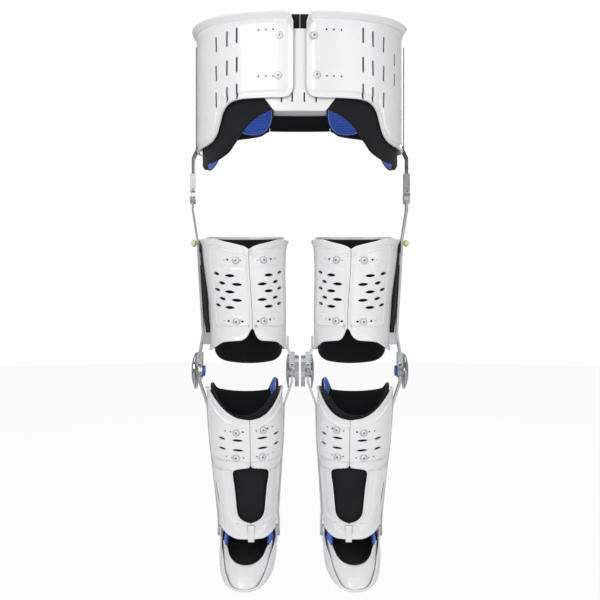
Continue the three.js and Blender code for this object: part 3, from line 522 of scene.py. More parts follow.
def tube(name, path, radius, closed=False, sides=10):
    """A cord of one radius along a path in millimetres, with its length as the UV."""
    mesh = bmesh.new()
    uv = mesh.loops.layers.uv.new("surface")
    rings, run, last_side = [], 0.0, None
    count = len(path)
    for i, here in enumerate(path):
        before = path[i - 1] if (i or closed) else here
        after = path[(i + 1) % count] if (i < count - 1 or closed) else here
        along = (after - before).normalized()
        side = along.cross(Vector((0, 0, 1)) if abs(along.z) < 0.95 else Vector((0, 1, 0))).normalized()
        if last_side is not None:
            side = (last_side - along * last_side.dot(along)).normalized()
        last_side = side
        other = along.cross(side)
        run += (here - before).length
        rings.append([(mesh.verts.new((here + radius * (math.cos(a) * side + math.sin(a) * other)) / 1000),
                       run / 1000) for a in circle(sides)])
    for i in range(count if closed else count - 1):
        for k in range(sides):
            ring, nxt = rings[i], rings[(i + 1) % count]
            corners = [ring[k], ring[(k + 1) % sides], nxt[(k + 1) % sides], nxt[k]]
            around = [step * 2 * radius * math.pi / sides / 1000 for step in (k, k + 1, k + 1, k)]
            quad(mesh, uv, [(vertex, (at, up)) for (vertex, at), up in zip(corners, around)])
    if not closed:
        mesh.faces.new([v for v, _ in rings[0]])
        mesh.faces.new([v for v, _ in rings[-1]])
    return new_object(name, mesh_of(name, mesh))


foam_low = curve([(0.4, -68), (10, -72), (14.3, -76)] + [
    (at, mix(-78, -157, share)) for at, share in ((22, 0.13), (27, 0.27), (31.4, 0.45), (36, 0.64),
                                                  (41.5, 0.83), (51.7, 0.96), (60, 1), (95, 1), (110, 0.76),
                                                  (125, 0.4), (140, 0.13), (152, 0.05), (158, 0.0), (164, -0.12))])


def quilted(angle, z, from_start, from_end, from_low, from_high):
    wave = math.sin(angle * 0.55) * math.sin(z * 0.06 + angle * 0.1)
    return -0.45 * wave * smooth(5, 20, min(from_low, from_high))


liner = shell("pelvis_foam_left", band_form, 0.02, 164, foam_low, lambda a: 87, -8.3, -13.8, step=4.2, rim=2.2,
              inside=quilted)
edge = [band_form(a, foam_low(a) + 0.9, -11) for a in (0.3 + 163.5 * k / 220 for k in range(221))]
binding = tube("pelvis_foam_binding_left", edge, 1.9)
pair(liner, "pelvis_foam", foam, "pelvis", "pelvis_liner_", fill=0.9)
pair(binding, "pelvis_foam_binding", foam, "pelvis")

# Rear belt: black webbing between the foam ends, behind the wearer. Its height is that of the
# dark strip seen through the band in the photo, and its length is the gap that it spans.
belt = shell("rear_webbing_belt", band_form, 164.6, 195.4, lambda a: -68, lambda a: -37, -8.3, -10.8, step=2,
             rim=0.8, inside=lambda a, z, s, e, low, high: 0.25 * math.sin(z * 1.6))
ready(belt, foam, "pelvis", "rear_belt")

# Blue pads: soft foam under a perforated mesh, cut to a leaf or an oval, bound at the edge
# with a lighter cord and backed with a thin black rim. The holes are punched in rows.
mesh_blue, tree, shader = new_material("perforated_blue_mesh")
place = add(tree, "ShaderNodeUVMap", {"uv_map": "surface"})
scaled = add(tree, "ShaderNodeVectorMath", {"operation": "MULTIPLY", 1: (190.0, 190.0, 0.0)}, {0: place})
split = add(tree, "ShaderNodeSeparateXYZ", links={"Vector": scaled})
row = maths(tree, "FLOOR", split.outputs["Y"])
shifted = maths(tree, "ADD", split.outputs["X"], maths(tree, "MULTIPLY", row, 0.5))
cell = add(tree, "ShaderNodeCombineXYZ", links={"X": maths(tree, "FRACT", shifted),
                                                "Y": maths(tree, "FRACT", split.outputs["Y"])})
off = add(tree, "ShaderNodeVectorMath", {"operation": "DISTANCE", 1: (0.5, 0.5, 0.0)}, {0: cell})
hole = ramp(tree, off.outputs["Value"], 0.16, 0.22, 1.0, 0.0)
weave = add(tree, "ShaderNodeTexVoronoi", {"Scale": 1500.0}, {"Vector": place})
depth = maths(tree, "MULTIPLY_ADD", hole, -1.6, weave.outputs["Distance"])
blue = blend(tree, noise(tree, 30.0, 3.0), "#3468f5", "#5585ff")
dress(tree, shader, (0.6, 0.0006, depth), base_color=blend(tree, hole, blue, "#0b1440"), roughness=0.7,
      sheen_weight=0.2)

cord_blue, tree, shader = new_material("woven_edge_cord")
place = add(tree, "ShaderNodeUVMap", {"uv_map": "surface"})
twist = add(tree, "ShaderNodeTexWave", {"bands_direction": "DIAGONAL", "Scale": 260.0, "Distortion": 0.5},
            {"Vector": place}).outputs["Fac"]
dress(tree, shader, (0.6, 0.0004, twist), base_color=blend(tree, twist, "#6f8fe6", "#a9bdf2"), roughness=0.75)
cushion, piping = (mesh_blue, "blue_pad"), (cord_blue, "blue_pad")


def pad(name, form, centre, z, half_turn, half_height, outer, thickness, point=0.0, round_off=1.0):
    """A soft pad lying inside a form: flat on its back, full and rounded on its face. point
    draws its lower end out like a leaf, and a round_off under 1 squares its corners. Returns
    the pad and the path of its edge."""
    mesh = bmesh.new()
    uv = mesh.loops.layers.uv.new("surface")
    rings, around = 16, 96
    arc = (form(centre + 0.5, z) - form(centre - 0.5, z)).length

    def at(share, turn, lift):
        s, c = (math.copysign(abs(f(turn)) ** round_off, f(turn)) for f in (math.sin, math.cos))
        narrow = 1 - point * max(0.0, -c) ** 2
        angle = centre + half_turn * share * s * narrow
        height = z + half_height * share * c
        return form(angle, height, outer - lift), (angle - centre) * arc / 1000, height / 1000
    faces = {}
    for side in ("back", "face"):
        grid = []
        for i in range(rings + 1):
            share = math.sin(math.pi / 2 * i / rings)
            fat = thickness * (1 - share ** 3.4) ** 0.55 if side == "face" else 0.0
            line = []
            for k in range(around if i else 1):
                turn = 2 * math.pi * k / around
                wave = 0.25 * math.sin(5 * turn + share * 7) * share * (1 - share)
                p, u, v = at(share, turn, fat + (wave if side == "face" else 0))
                line.append((mesh.verts.new(p / 1000), (u, v)))
            grid.append(line)
        faces[side] = grid
    for side, grid in faces.items():
        for i in range(rings):
            for k in range(around):
                n = (k + 1) % around
                if i == 0:
                    corners = [grid[0][0], grid[1][k], grid[1][n]]
                else:
                    corners = [grid[i][k], grid[i + 1][k], grid[i + 1][n], grid[i][n]]
                quad(mesh, uv, corners)
    bmesh.ops.remove_doubles(mesh, verts=mesh.verts, dist=1e-6)
    return new_object(name, mesh_of(name, mesh)), [at(1.0, 2 * math.pi * k / around, 0.6)[0] for k in range(around)]


for kind, centre, z, turn, tall, point, full in (("seat", 150.5, -33, 14.5, 44, 0.1, 0.7),
                                                 ("hip", 98, -117, 20, 37, 0.2, 1)):
    soft, edge = pad(kind + "_pad_cushion_left", band_form, centre, z, turn, tall, -14.6, 6.0, point, full)
    cord = tube(kind + "_pad_cord_left", edge, 1.3, closed=True)
    rim = tube(kind + "_pad_rim_left", [p + (p - band_form(centre, z, -14)).normalized() * 2.2 for p in edge],
               1.5, closed=True)
    pair(soft, kind + "_pad_cushion", cushion, "pelvis", kind + "_pad_", fill=0.8)
    pair(cord, kind + "_pad_cord", piping, "pelvis")
    pair(rim, kind + "_pad_rim", foam, "pelvis")

# Thigh cuffs: two white front halves that meet at a bright seam, each with a raised panel of
# oval vents and blind dimples, and a rear half one layer further in. The seam edge turns up
# into a narrow lip, and the lower edge rises in an ogee over the foam.


def share_of(low, high):
    return lambda share: mix(low, high, share)


thigh_at = share_of(-290, -492)
thigh_form = make_form([(thigh_at(1.2), 70, 77.3, 34, 96, 8), (thigh_at(0.75), 71, 79.8, 50, 96, 8),
                        (thigh_at(0.1), 78, 84, 66, 103, 8), (thigh_at(-0.1), 83, 84, 66, 103, 8)], 2.2)
seam = -8


def level(at, *rows):
    """A curve of heights by angle, from rows of an angle and a share of the cuff's height."""
    return curve([(angle, at(share)) for angle, share in rows])


def about(middle, table):
    """A table that runs the same way to both sides of an angle."""
    return lambda angle: table(abs(angle - middle))


thigh_low = about(seam, level(thigh_at, (0, 0.795), (2, 0.805), (4.5, 0.845), (9, 0.885), (14, 0.9), (25, 0.905),
                              (40, 0.915), (60, 0.96), (85, 1), (110, 1)))
thigh_high = about(seam, level(thigh_at, (0, 0.1), (2, 0.093), (6, 0.075), (30, 0.03), (45, 0.005), (70, 0),
                               (110, 0)))


def near_dent(angle, z, dents, arc):
    """How deep a blind dimple or a pressed ring is at a point: rows of angle, z, half length,
    half height, depth."""
    deep = 0.0
    for at, height, long, tall, depth in dents:
        d = math.hypot((angle - at) * arc / long, (z - height) / tall)
        if d < 1.25:
            deep = min(deep, -depth * (1 - smooth(0.6, 1.25, d)))
    return deep


def thigh_relief(turn):
    panel_end, panel_floor, corner_size = 56, -446, 10
    dents = [(seam + turn * at, z, 9, 2.2, 0.9) for at, z in ((15, -343), (38, -340), (15.5, -427.5), (38, -423))]

    def relief(angle, z, from_start, from_end, from_low, from_high):
        side = abs(angle - seam)
        from_side = (panel_end - side) * 1.35
        inside = min(from_start - 3.5, from_side, from_high - 13, z - panel_floor + 0.11 * side)
        corner = math.hypot(max(0.0, corner_size - from_side), max(0.0, corner_size - (z - panel_floor)))
        inside = min(inside, corner_size - corner)
        lip = 1.7 * (1 - smooth(0.6, 3.2, from_start)) - 0.7 * smooth(3, 5, from_start)
        bead = 1.1 * (1 - smooth(0.6, 2.6, abs(inside - 1.4)))
        flare = 2.4 * (1 - smooth(0, 13, from_high)) + 1.8 * (1 - smooth(0, 10, from_low))
        return lip + 1.5 * smooth(-1.2, 1.2, inside) + bead + flare + near_dent(angle, z, dents, 1.36)
    return relief


thigh_slots = {1: ((23.7, -357.2), (44.2, -353.0), (15.2, -372.6), (36.4, -369.8), (25.8, -385.7), (46.1, -381.3),
                   (16.9, -400.5), (38.3, -397.3), (27.6, -413.2), (48.0, -408.7)),
               -1: ((27.4, -355.5), (49.0, -349.9), (16.6, -371.6), (39.4, -366.9), (26.2, -383.7), (47.7, -378.4),
                    (15.3, -399.1), (37.7, -395.0), (25.0, -411.2), (45.8, -406.1))}
thigh_holes = {1: ((25.1, -329.1, 3.6), (29.8, -329.3, 1.8), (9.0, -330.3, 1.8), (30.5, -437.1, 3.6),
                   (11.3, -437.9, 3.6), (38.0, -436.5, 1.8)),
               -1: ((30.9, -327.1, 3.6), (11.1, -330.1, 1.8), (38.3, -326.1, 1.8), (27.0, -434.5, 3.6),
                    (8.0, -437.6, 3.6), (34.5, -433.6, 1.8))}
seam_gap, half_end, far_slot = 0.12, 108, 31


def leg_half(leg, half, turn, form, low, high, relief, slots, lengths, tall, holes, stretch, cuts=()):
    """One front half of a cuff, from the seam round to its side, and its twin. A slot that is
    far from the seam has the second of two lengths and leans more."""
    cuts = list(cuts)
    for at, z in slots:
        far = at > far_slot
        cuts.append(slot_shape(form, seam + turn * at, z, lengths[far], tall, turn * (13 if far else 4), pointed=True))
    for at, z, wide in holes:
        cuts.append(slot_shape(form, seam + turn * at, z, wide * stretch, wide, 0))
    name = f"{leg}_front_{half}"
    item = shell(name + "_formed_left", form, seam + turn * seam_gap, seam + turn * half_end, low, high, 0, -3,
                 step=1.85, relief=relief, rim=1.2)
    pierce(item, cuts)
    pair(item, name + "_formed", white, leg + "_", name + "_")


for turn, half_name in ((1, "outer"), (-1, "inner")):
    leg_half("thigh", half_name, turn, thigh_form, thigh_low, thigh_high, thigh_relief(turn),
             thigh_slots[turn], (18.5, 14), 5.4, thigh_holes[turn], 1.25)


def rim_relief(angle, z, from_start, from_end, from_low, from_high):
    near = min(from_low, from_high)
    return 1.2 * smooth(8, 11, near) + 1.6 * (1 - smooth(0, 6, near))


rear_layer, foam_layer = (-3.75, -6.75), (-7.5, -11.5)


def leg_back(leg, form, rear_low, rear_high, low, high, step, edge_height, radius):
    """The rear half of a cuff, one layer further in, its lining all round and the lining's
    bound edge, each with its twin."""
    rear = shell(leg + "_rear_formed_left", form, 88, 272, about(180, rear_low), about(180, rear_high), *rear_layer,
                 step=3.6, relief=rim_relief)
    lining = shell(leg + "_foam_left", form, 0, 360, low, high, *foam_layer, step=step, rim=1.8, closed=True)
    edge = [form(a, edge_height(a), -9.5) for a in range(0, 360, 3)]
    bound = tube(leg + "_foam_binding_left", edge, radius, closed=True)
    pair(rear, leg + "_rear_formed", white, leg + "_", leg + "_rear_shell_")
    pair(lining, leg + "_foam", foam, leg + "_", leg + "_liner_", fill=0.9)
    pair(bound, leg + "_foam_binding", foam, leg + "_")


ring_low = folded(level(thigh_at, (0, 0.765), (40, 0.82), (80, 0.96), (100, 1.03), (140, 1.11), (180, 1.13)))
ring_high = folded(level(thigh_at, (0, 0.12), (40, 0.07), (80, 0.03), (120, -0.03), (180, -0.03)))
leg_back("thigh", thigh_form, level(thigh_at, (0, 1.04), (60, 1), (95, 0.97)),
         level(thigh_at, (0, -0.06), (60, -0.05), (95, 0.03)), ring_low, ring_high, 4.2,
         lambda a: ring_low(a) + 0.6, 1.7)

# Shank cuffs: tall white halves with a rolled U neckline, four oval vents each, and a window
# over the shin with a raised frame round it. They narrow to a round lower edge at the ankle,
# where a small tongue holds the seam.
shank_at = share_of(-553, -830)
widths = share_of(70.5, 50)
fronts = share_of(66, 50)
centres = share_of(103, 96)
shank_form = make_form([(shank_at(1.03), 50, 50, 40, 96, 8),
                        (shank_at(0.62), widths(0.52), fronts(0.65), 46, centres(0.6), 8),
                        (shank_at(0.28), widths(0.08), fronts(0.28), 52, centres(0.28), 8),
                        (shank_at(-0.05), 70.5, 66, 38, 103, 8)], 2.2)
shank_high = about(seam, level(shank_at, (0, 0.222), (12, 0.214), (26, 0.188), (40, 0.145), (55, 0.09), (70, 0.045),
                               (85, 0.02), (110, 0.03)))
shank_low = about(seam, level(shank_at, (0, 1), (20, 1), (45, 0.98), (65, 0.95), (85, 0.93), (110, 0.93)))
window_rim = curve([(0, 0), (0.03, 0.3), (0.1, 0.6), (0.2, 0.75), (0.3, 0.79), (0.45, 0.83), (0.7, 0.9),
                    (0.9, 0.985), (0.98, 1.0), (1.03, 0.94), (1.06, 0.74), (1.075, 0.4), (1.09, 0.1), (1.16, 0.0)])
window_low, window_high, window_half, window_peak = -802, -709, 32, 1.16
seam_x = shank_form(seam, (window_low + window_high) / 2).x


def window_gap(x, z):
    """Millimetres outside the window's outline, roughly, at a point of the shell."""
    tall = window_high - window_low
    share = (z - window_low) / tall
    if share < 0:
        return math.hypot(max(0.0, abs(x - seam_x) - window_half * 0.3), share * tall)
    if share > window_peak:
        return math.hypot(abs(x - seam_x), (share - window_peak) * tall)
    side = abs(x - seam_x) - window_half * window_rim(share)
    if share > 1.04:
        return min(side, max(0.0, (share - 1.04) * tall)) if side > 0 else side
    return side


def shank_relief(angle, z, from_start, from_end, from_low, from_high):
    frame_top, step_top, panel_floor, lip_floor = -694, -706, -690, -696
    side = abs(angle - seam)
    gap = window_gap(shank_form(angle, z).x, z)
    frame_rim = 1.8 * smooth(-1, 0.5, gap) * (1 - smooth(2.2, 4.2, gap)) if z < frame_top and gap < 8 else 0.0
    frame_step = 1.5 * smooth(15, 18.5, gap) if z < step_top else 0.0
    belt = min(from_high - 11, z - panel_floor - side * 0.05, (74 - side) * 1.2)
    panel = 1.5 * smooth(-1.5, 1.2, belt) + 0.9 * (1 - smooth(0.6, 2.4, abs(belt - 1.3)))
    lip = 1.2 * (1 - smooth(0.6, 3, from_start)) - 0.6 * smooth(3, 5, from_start) if z > lip_floor else -0.4
    rolled = 2.3 * (1 - smooth(0, 6.5, from_high)) + 1.6 * (1 - smooth(0, 9, from_low))
    groove = -1.0 * (1 - smooth(0.6, 2.6, abs(side - 62 - (z + 760) * 0.04))) * smooth(-815, -800, z) \
        * (1 - smooth(-725, -705, z))
    return lip + max(panel, frame_step) + frame_rim + rolled + groove


def window_shape(turn):
    tall = window_high - window_low
    shares = [window_peak * k / 48 for k in range(49)]
    outline = [(seam_x + turn * window_half * window_rim(share), window_low + tall * share) for share in shares]
    outline = [(seam_x - turn * 6, window_low)] + outline + [(seam_x - turn * 6, outline[-1][1])]
    return prism([Vector((x, -80, z)) for x, z in outline], Vector((0, 68, 0)))


shank_slots = {1: ((15.7, -650.9), (41.0, -647.8), (15.7, -668.6), (41.8, -666.0)),
               -1: ((19.1, -647.0), (46.5, -641.2), (19.9, -665.0), (48.2, -659.2))}
shank_holes = {1: ((34.2, -634.3, 2.4), (25.4, -635.2, 2.4), (8.6, -635.5, 3.2), (35.5, -680.9, 2.2),
                   (25.9, -682.0, 2.2), (8.4, -682.4, 2.4)),
               -1: ((9.5, -633.7, 2.4), (28.0, -630.5, 3.2), (37.3, -628.4, 2.4), (10.4, -680.1, 2.4),
                    (29.7, -678.3, 2.2), (41.2, -675.2, 1.8))}
side_slit = slot_shape(shank_form, seam + 71, -750, 44, 5.5, 84, pointed=True)
for turn, half_name, more in ((1, "outer", [side_slit]), (-1, "inner", [])):
    leg_half("shank", half_name, turn, shank_form, shank_low, shank_high, shank_relief,
             shank_slots[turn], (20, 15), 4.2, shank_holes[turn], 1.3, [window_shape(turn)] + more)

calf_low = folded(level(shank_at, (0, 0.985), (60, 0.955), (90, 0.935), (180, 0.965)))
calf_side = {1: level(shank_at, (0, 0.2), (20, 0.185), (40, 0.13), (60, 0.055), (78, 0.01), (100, 0.005),
                      (125, 0.05), (180, 0.075)),
             -1: level(shank_at, (0, 0.2), (20, 0.18), (38, 0.135), (52, 0.085), (66, 0.05), (80, 0.035), (92, 0.0),
                       (102, -0.022), (114, -0.025), (125, 0.0), (138, 0.06), (180, 0.075))}


def calf_high(angle):
    return calf_side[1](angle) if angle <= 180 else calf_side[-1](360 - angle)


leg_back("shank", shank_form, level(shank_at, (0, 0.97), (60, 0.95), (95, 0.94)),
         level(shank_at, (0, 0.13), (50, 0.09), (95, 0.05)), calf_low, calf_high, 3.8,
         lambda a: calf_high(a) - 0.6, 1.8)
tongue = shell("shank_tongue_left", shank_form, seam - 5.5, seam + 5.5, lambda a: -835, lambda a: -805, 3.2, 0.3,
               step=1.2, rim=0.8)
soft, edge = pad("knee_pad_cushion_left", shank_form, -103, shank_at(0.045), 22, 21, -12.1, 5.0, 0.1)
cord = tube("knee_pad_cord_left", edge, 1.1, closed=True)
pair(tongue, "shank_tongue", white, "shank_", "tongue_plate_")
pair(soft, "knee_pad_cushion", cushion, "shank_", "knee_pad_", fill=0.9)
pair(cord, "knee_pad_cord", piping, "shank_")

# Feet: a white moulded shoe cup over the heel and sole, a smooth domed instep shell from the
# toe to a U neckline, a black lining, and two small blue pads inside the ankle.
sole = -44
ankle = (96, 26, -832)
foot_form = make_form([(sole, 46, 141, 50, 0, 0), (sole + 7, 52, 148, 56, 0, 0), (sole + 20, 53, 137.75, 56, 0, 0),
                       (sole + 32, 52, 104.4, 55, 0, 0), (sole + 60, 48, 60.9, 50, 0, 0)], 2.5)
foot_place = Matrix.Translation(Vector(ankle) / 1000) @ Matrix.Rotation(math.radians(12), 4, "X")


def cup(name, form, low, floor, high, outer, inner, step=2.8, rim=1.2):
    """A wall with a rounded floor: the inside starts higher by the floor's thickness."""
    item = shell(name, form, 0, 360, lambda a: low, high, outer, inner, step=step, rim=rim, closed=True)
    mesh = bmesh.new()
    mesh.from_mesh(item.data)
    mesh.verts.ensure_lookup_table()
    lowest = min(v.co.z for v in mesh.verts)
    bottom_faces = [f for f in mesh.faces if all(v.co.z < lowest + 0.0002 for v in f.verts)]
    bmesh.ops.delete(mesh, geom=bottom_faces, context="FACES_ONLY")
    loops = [e for e in mesh.edges if len(e.link_faces) == 1]
    rings = []
    while loops:
        ring = [loops.pop()]
        ends = set(ring[0].verts)
        grown = True
        while grown:
            grown = False
            for candidate in list(loops):
                if ends & set(candidate.verts):
                    ring.append(candidate)
                    ends |= set(candidate.verts)
                    loops.remove(candidate)
                    grown = True
        rings.append(ring)
    for ring in rings:
        verts = {v for e in ring for v in e.verts}
        middle = sum((v.co for v in verts), Vector()) / len(verts)
        wide = max((v.co - middle).length for v in verts)
        raised = wide < max((v.co - middle).length for r in rings for e in r for v in e.verts) - 1e-5
        if raised:
            for v in verts:
                v.co.z += floor / 1000
            middle.z += floor / 1000
        previous = {v: v for v in verts}
        for share in (0.75, 0.5, 0.25):
            made = {v: mesh.verts.new(middle + (v.co - middle) * share) for v in verts}
            for e in ring:
                a, b = e.verts
                mesh.faces.new((previous[a], previous[b], made[b], made[a])).smooth = True
            previous = made
        centre = mesh.verts.new(middle)
        for e in ring:
            a, b = e.verts
            mesh.faces.new((previous[a], previous[b], centre)).smooth = True
    item.data = mesh_of(name, mesh)
    return item


foot_rim = folded(curve([(0, sole + 8), (20, sole + 10), (40, sole + 22), (60, sole + 32), (90, sole + 36),
                         (120, sole + 44), (180, sole + 50)]))
shoe = cup("shoe_cup_left", foot_form, sole, 3, foot_rim, 0, -3)
ears = []
for eye, turn in ((152, 1), (40, -1)):
    x = eye - turn * 4 - ankle[0]
    low_x, high_x = (x - 1.6) / 1000, (x + 1.6) / 1000
    outline = [(-8.5, sole + 22), (8.5, sole + 22)] + [(11 * math.cos(math.radians(k)), 11 * math.sin(math.radians(k)))
                                                       for k in range(-20, 201, 10)]
    mesh = bmesh.new()
    sides = [[mesh.verts.new((side, y / 1000, z / 1000)) for y, z in outline] for side in (low_x, high_x)]
    mesh.faces.new(sides[0])
    mesh.faces.new(reversed(sides[1]))
    bridge(mesh, *sides, smooth=False)
    ear = new_object("shoe_ear_" + ("outer" if turn > 0 else "inner") + "_left", mesh_of("shoe_ear", mesh))
    soften = ear.modifiers.new("edge", "BEVEL")
    soften.width, soften.segments, soften.limit_method = 0.0007, 3, "ANGLE"
    baked(ear)
    ears.append(ear)


def instep_relief(angle, z, from_start, from_end, from_low, from_high):
    return 1.5 * (1 - smooth(0, 5, from_high)) + 2.2 * (1 - smooth(0, 34, abs(angle)))


instep = shell("instep_formed_left", foot_form, -72, 72, lambda a: sole + 6,
               folded(curve([(0, sole + 30), (18, sole + 31), (36, sole + 34), (55, sole + 40), (72, sole + 40)])),
               -4.8, -7.8, step=2, relief=instep_relief, rim=1.2)
foot_foam = cup("foot_foam_left", foot_form, sole + 3.3, 3, folded(curve([(0, sole + 27), (40, sole + 32),
                (90, sole + 38), (180, sole + 50)])), -9.6, -12.6, rim=1.3)
ankle_pads = [pad(f"ankle_pad_{name}_cushion_left", foot_form, centre, -5, 17, 16, -6.0, 6.0)[0]
              for name, centre in (("outer", 73.8), ("inner", -73.8))]
for item, name, finish, node, fill in (
        (shoe, "shoe_cup", white, "foot_shell_", None),
        (ears[0], "shoe_ear_outer", white, None, None),
        (ears[1], "shoe_ear_inner", white, None, None),
        (instep, "instep_formed", white, "instep_shell_", None),
        (foot_foam, "foot_foam", foam, "foot_liner_", 0.9),
        (ankle_pads[0], "ankle_pad_outer_cushion", cushion, "ankle_pad_outer_", 0.9),
        (ankle_pads[1], "ankle_pad_inner_cushion", cushion, "ankle_pad_inner_", 0.9)):
    item.data.transform(foot_place)
    pair(item, name, finish, "foot_", node, fill)

# Hardware: brushed steel arms and joint heads, polished chrome covers, yellow-green knobs and
# blue buttons. The bars on the band are coated satin black and rubbed bright at their edges.
brushed, tree, shader = new_material("brushed_stainless_steel")
stretch = add(tree, "ShaderNodeMapping", {"Scale": (900.0, 900.0, 30.0)},
              {"Vector": add(tree, "ShaderNodeTexCoord").outputs["Object"]})
grain = add(tree, "ShaderNodeTexNoise", {"Scale": 1.0, "Detail": 4.0}, {"Vector": stretch})
dress(tree, shader, (0.12, 0.0001, grain), base_color=blend(tree, noise(tree, 40.0, 3.0), "#9da1a5", "#c9ccce"),
      roughness=ramp(tree, grain, 0.0, 1.0, 0.18, 0.42), metallic=1.0)

chrome, tree, shader = new_material("polished_chrome_plate")
haze = noise(tree, 60.0, 4.0)
dress(tree, shader, (0.03, 0.0002, haze), base_color="#b4b8bc", roughness=ramp(tree, haze, 0.0, 1.0, 0.04, 0.16),
      metallic=1.0)
cover = (chrome, "cover_chrome")

coated, tree, shader = new_material("satin_black_coated_steel")
flecks = noise(tree, 160.0, 5.0)
edges = ramp(tree, add(tree, "ShaderNodeNewGeometry").outputs["Pointiness"], 0.54, 0.66, 0.0, 1.0)
bare = maths(tree, "MULTIPLY", edges, flecks)
dress(tree, shader, (0.15, 0.0001, flecks), base_color=blend(tree, bare, "#1a1b19", "#8d9092"),
      roughness=ramp(tree, flecks, 0.0, 1.0, 0.32, 0.5), metallic=0.5)


def moulded(name, scale, detail, dark, light, strength, roughness):
    """A moulded plastic or rubber with a fine mottle."""
    material, tree, shader = new_material(name)
    mottle = noise(tree, scale, detail)
    dress(tree, shader, (strength, 0.0002, mottle), base_color=blend(tree, mottle, dark, light), roughness=roughness)
    return material


yellow = moulded("moulded_yellow_green_plastic", 120.0, 3.0, "#cfd98a", "#e4ebb0", 0.2, 0.45)
blue_cap = moulded("moulded_blue_plastic", 140.0, 3.0, "#2748b8", "#3a63d6", 0.2, 0.4)
for node, material in (("hip_bar", coated), ("hip_joint", brushed), ("thigh_upright_outer", brushed),
                       ("thigh_upright_inner", brushed), ("shank_upright_outer", brushed),
                       ("shank_upright_inner", brushed), ("lock_knob", yellow), ("knee_button", blue_cap)):
    for side in ("left", "right"):
        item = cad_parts[f"{node}_{side}"]
        for holder in item.material_slots:
            holder.material = material

# Screws: steel button heads with a hexagon socket, each on a pressed washer, that clamp the
# adjustable halves. Ten to each side: two on the band, four on the thigh, four on the shank.


def turned(name, rows, sides=36, hexagon=0.0, deep=0.0):
    """A turned shape about Z from rows of radius and height in millimetres, with a hexagon
    socket of a given size across its corners sunk into its top."""
    mesh = bmesh.new()
    rings = [[mesh.verts.new(Vector((r * math.cos(a), r * math.sin(a), z)) / 1000) for a in circle(sides)]
             for r, z in rows]
    for low, high in zip(rings, rings[1:]):
        bridge(mesh, low, high)
    mesh.faces.new(reversed(rings[0]))
    top = rings[-1]
    if hexagon:
        for z in (rows[-1][1], rows[-1][1] - deep):
            ring = []
            for a in circle(sides):
                r = hexagon * math.cos(math.pi / 6) / math.cos(a % (math.pi / 3) - math.pi / 6)
                ring.append(mesh.verts.new(Vector((r * math.cos(a), r * math.sin(a), z)) / 1000))
            bridge(mesh, top, ring, smooth=False)
            top = ring
    mesh.faces.new(top)
    data = mesh_of(name, mesh)
    data.set_sharp_from_angle(angle=math.radians(40))
    return data


def repeats(name, unit, spots, material, spin=30.0, seed=4):
    """Copies of one unit mesh at (place, outward direction) spots: the tree puts an instance on
    each point, turns it to the surface, spins it by a seeded amount and makes it real."""
    cloud = bpy.data.meshes.new(name)
    cloud.from_pydata([tuple(place) for place, _ in spots], [], [])
    facing = cloud.attributes.new("facing", "FLOAT_VECTOR", "POINT")
    for k, (_, out) in enumerate(spots):
        facing.data[k].vector = out
    holder = new_object(name, cloud)
    source = new_object(name + "_unit", unit)
    tree = bpy.data.node_groups.new(name, "GeometryNodeTree")
    sockets = {}
    for label, kind in (("Geometry", "Geometry"), ("Unit", "Object"), ("Finish", "Material"), ("Spin", "Float"),
                        ("Seed", "Int")):
        socket = tree.interface.new_socket(label, in_out="INPUT", socket_type="NodeSocket" + kind)
        sockets[label] = socket.identifier
    tree.interface.new_socket("Geometry", in_out="OUTPUT", socket_type="NodeSocketGeometry")
    given = add(tree, "NodeGroupInput")
    direction = add(tree, "GeometryNodeInputNamedAttribute", {"data_type": "FLOAT_VECTOR", "Name": "facing"})
    turn = add(tree, "FunctionNodeAlignRotationToVector", {"axis": "Z"}, {"Vector": direction.outputs["Attribute"]})
    chance = add(tree, "FunctionNodeRandomValue", {"data_type": "FLOAT"}, {"Seed": given.outputs["Seed"]})
    angle = maths(tree, "MULTIPLY", chance, given.outputs["Spin"])
    spun = add(tree, "FunctionNodeAxisAngleToRotation", {"Axis": (0.0, 0.0, 1.0)}, {"Angle": angle})
    both = add(tree, "FunctionNodeRotateRotation", {"rotation_space": "LOCAL"}, {"Rotation": turn, "Rotate By": spun})
    model = add(tree, "GeometryNodeObjectInfo", links={"Object": given.outputs["Unit"]})
    put = add(tree, "GeometryNodeInstanceOnPoints", links={
        "Points": given.outputs["Geometry"], "Instance": model.outputs["Geometry"], "Rotation": both})
    real = add(tree, "GeometryNodeRealizeInstances", links={"Geometry": put})
    finish = add(tree, "GeometryNodeSetMaterial", links={"Geometry": real, "Material": given.outputs["Finish"]})
    add(tree, "NodeGroupOutput", links={"Geometry": finish})
    spread = holder.modifiers.new("repeats", "NODES")
    spread.node_group = tree
    spread[sockets["Unit"]] = source
    spread[sockets["Finish"]] = material
    spread[sockets["Spin"]] = math.radians(spin)
    spread[sockets["Seed"]] = seed
    baked(holder)
    bpy.data.objects.remove(source)
    return holder


def spot(form, angle, z, lift, side=1):
    place = form(angle, z, lift) / 1000
    out = normal_at(form, angle, z)
    return Vector((side * place.x, place.y, place.z)), Vector((side * out.x, out.y, out.z))


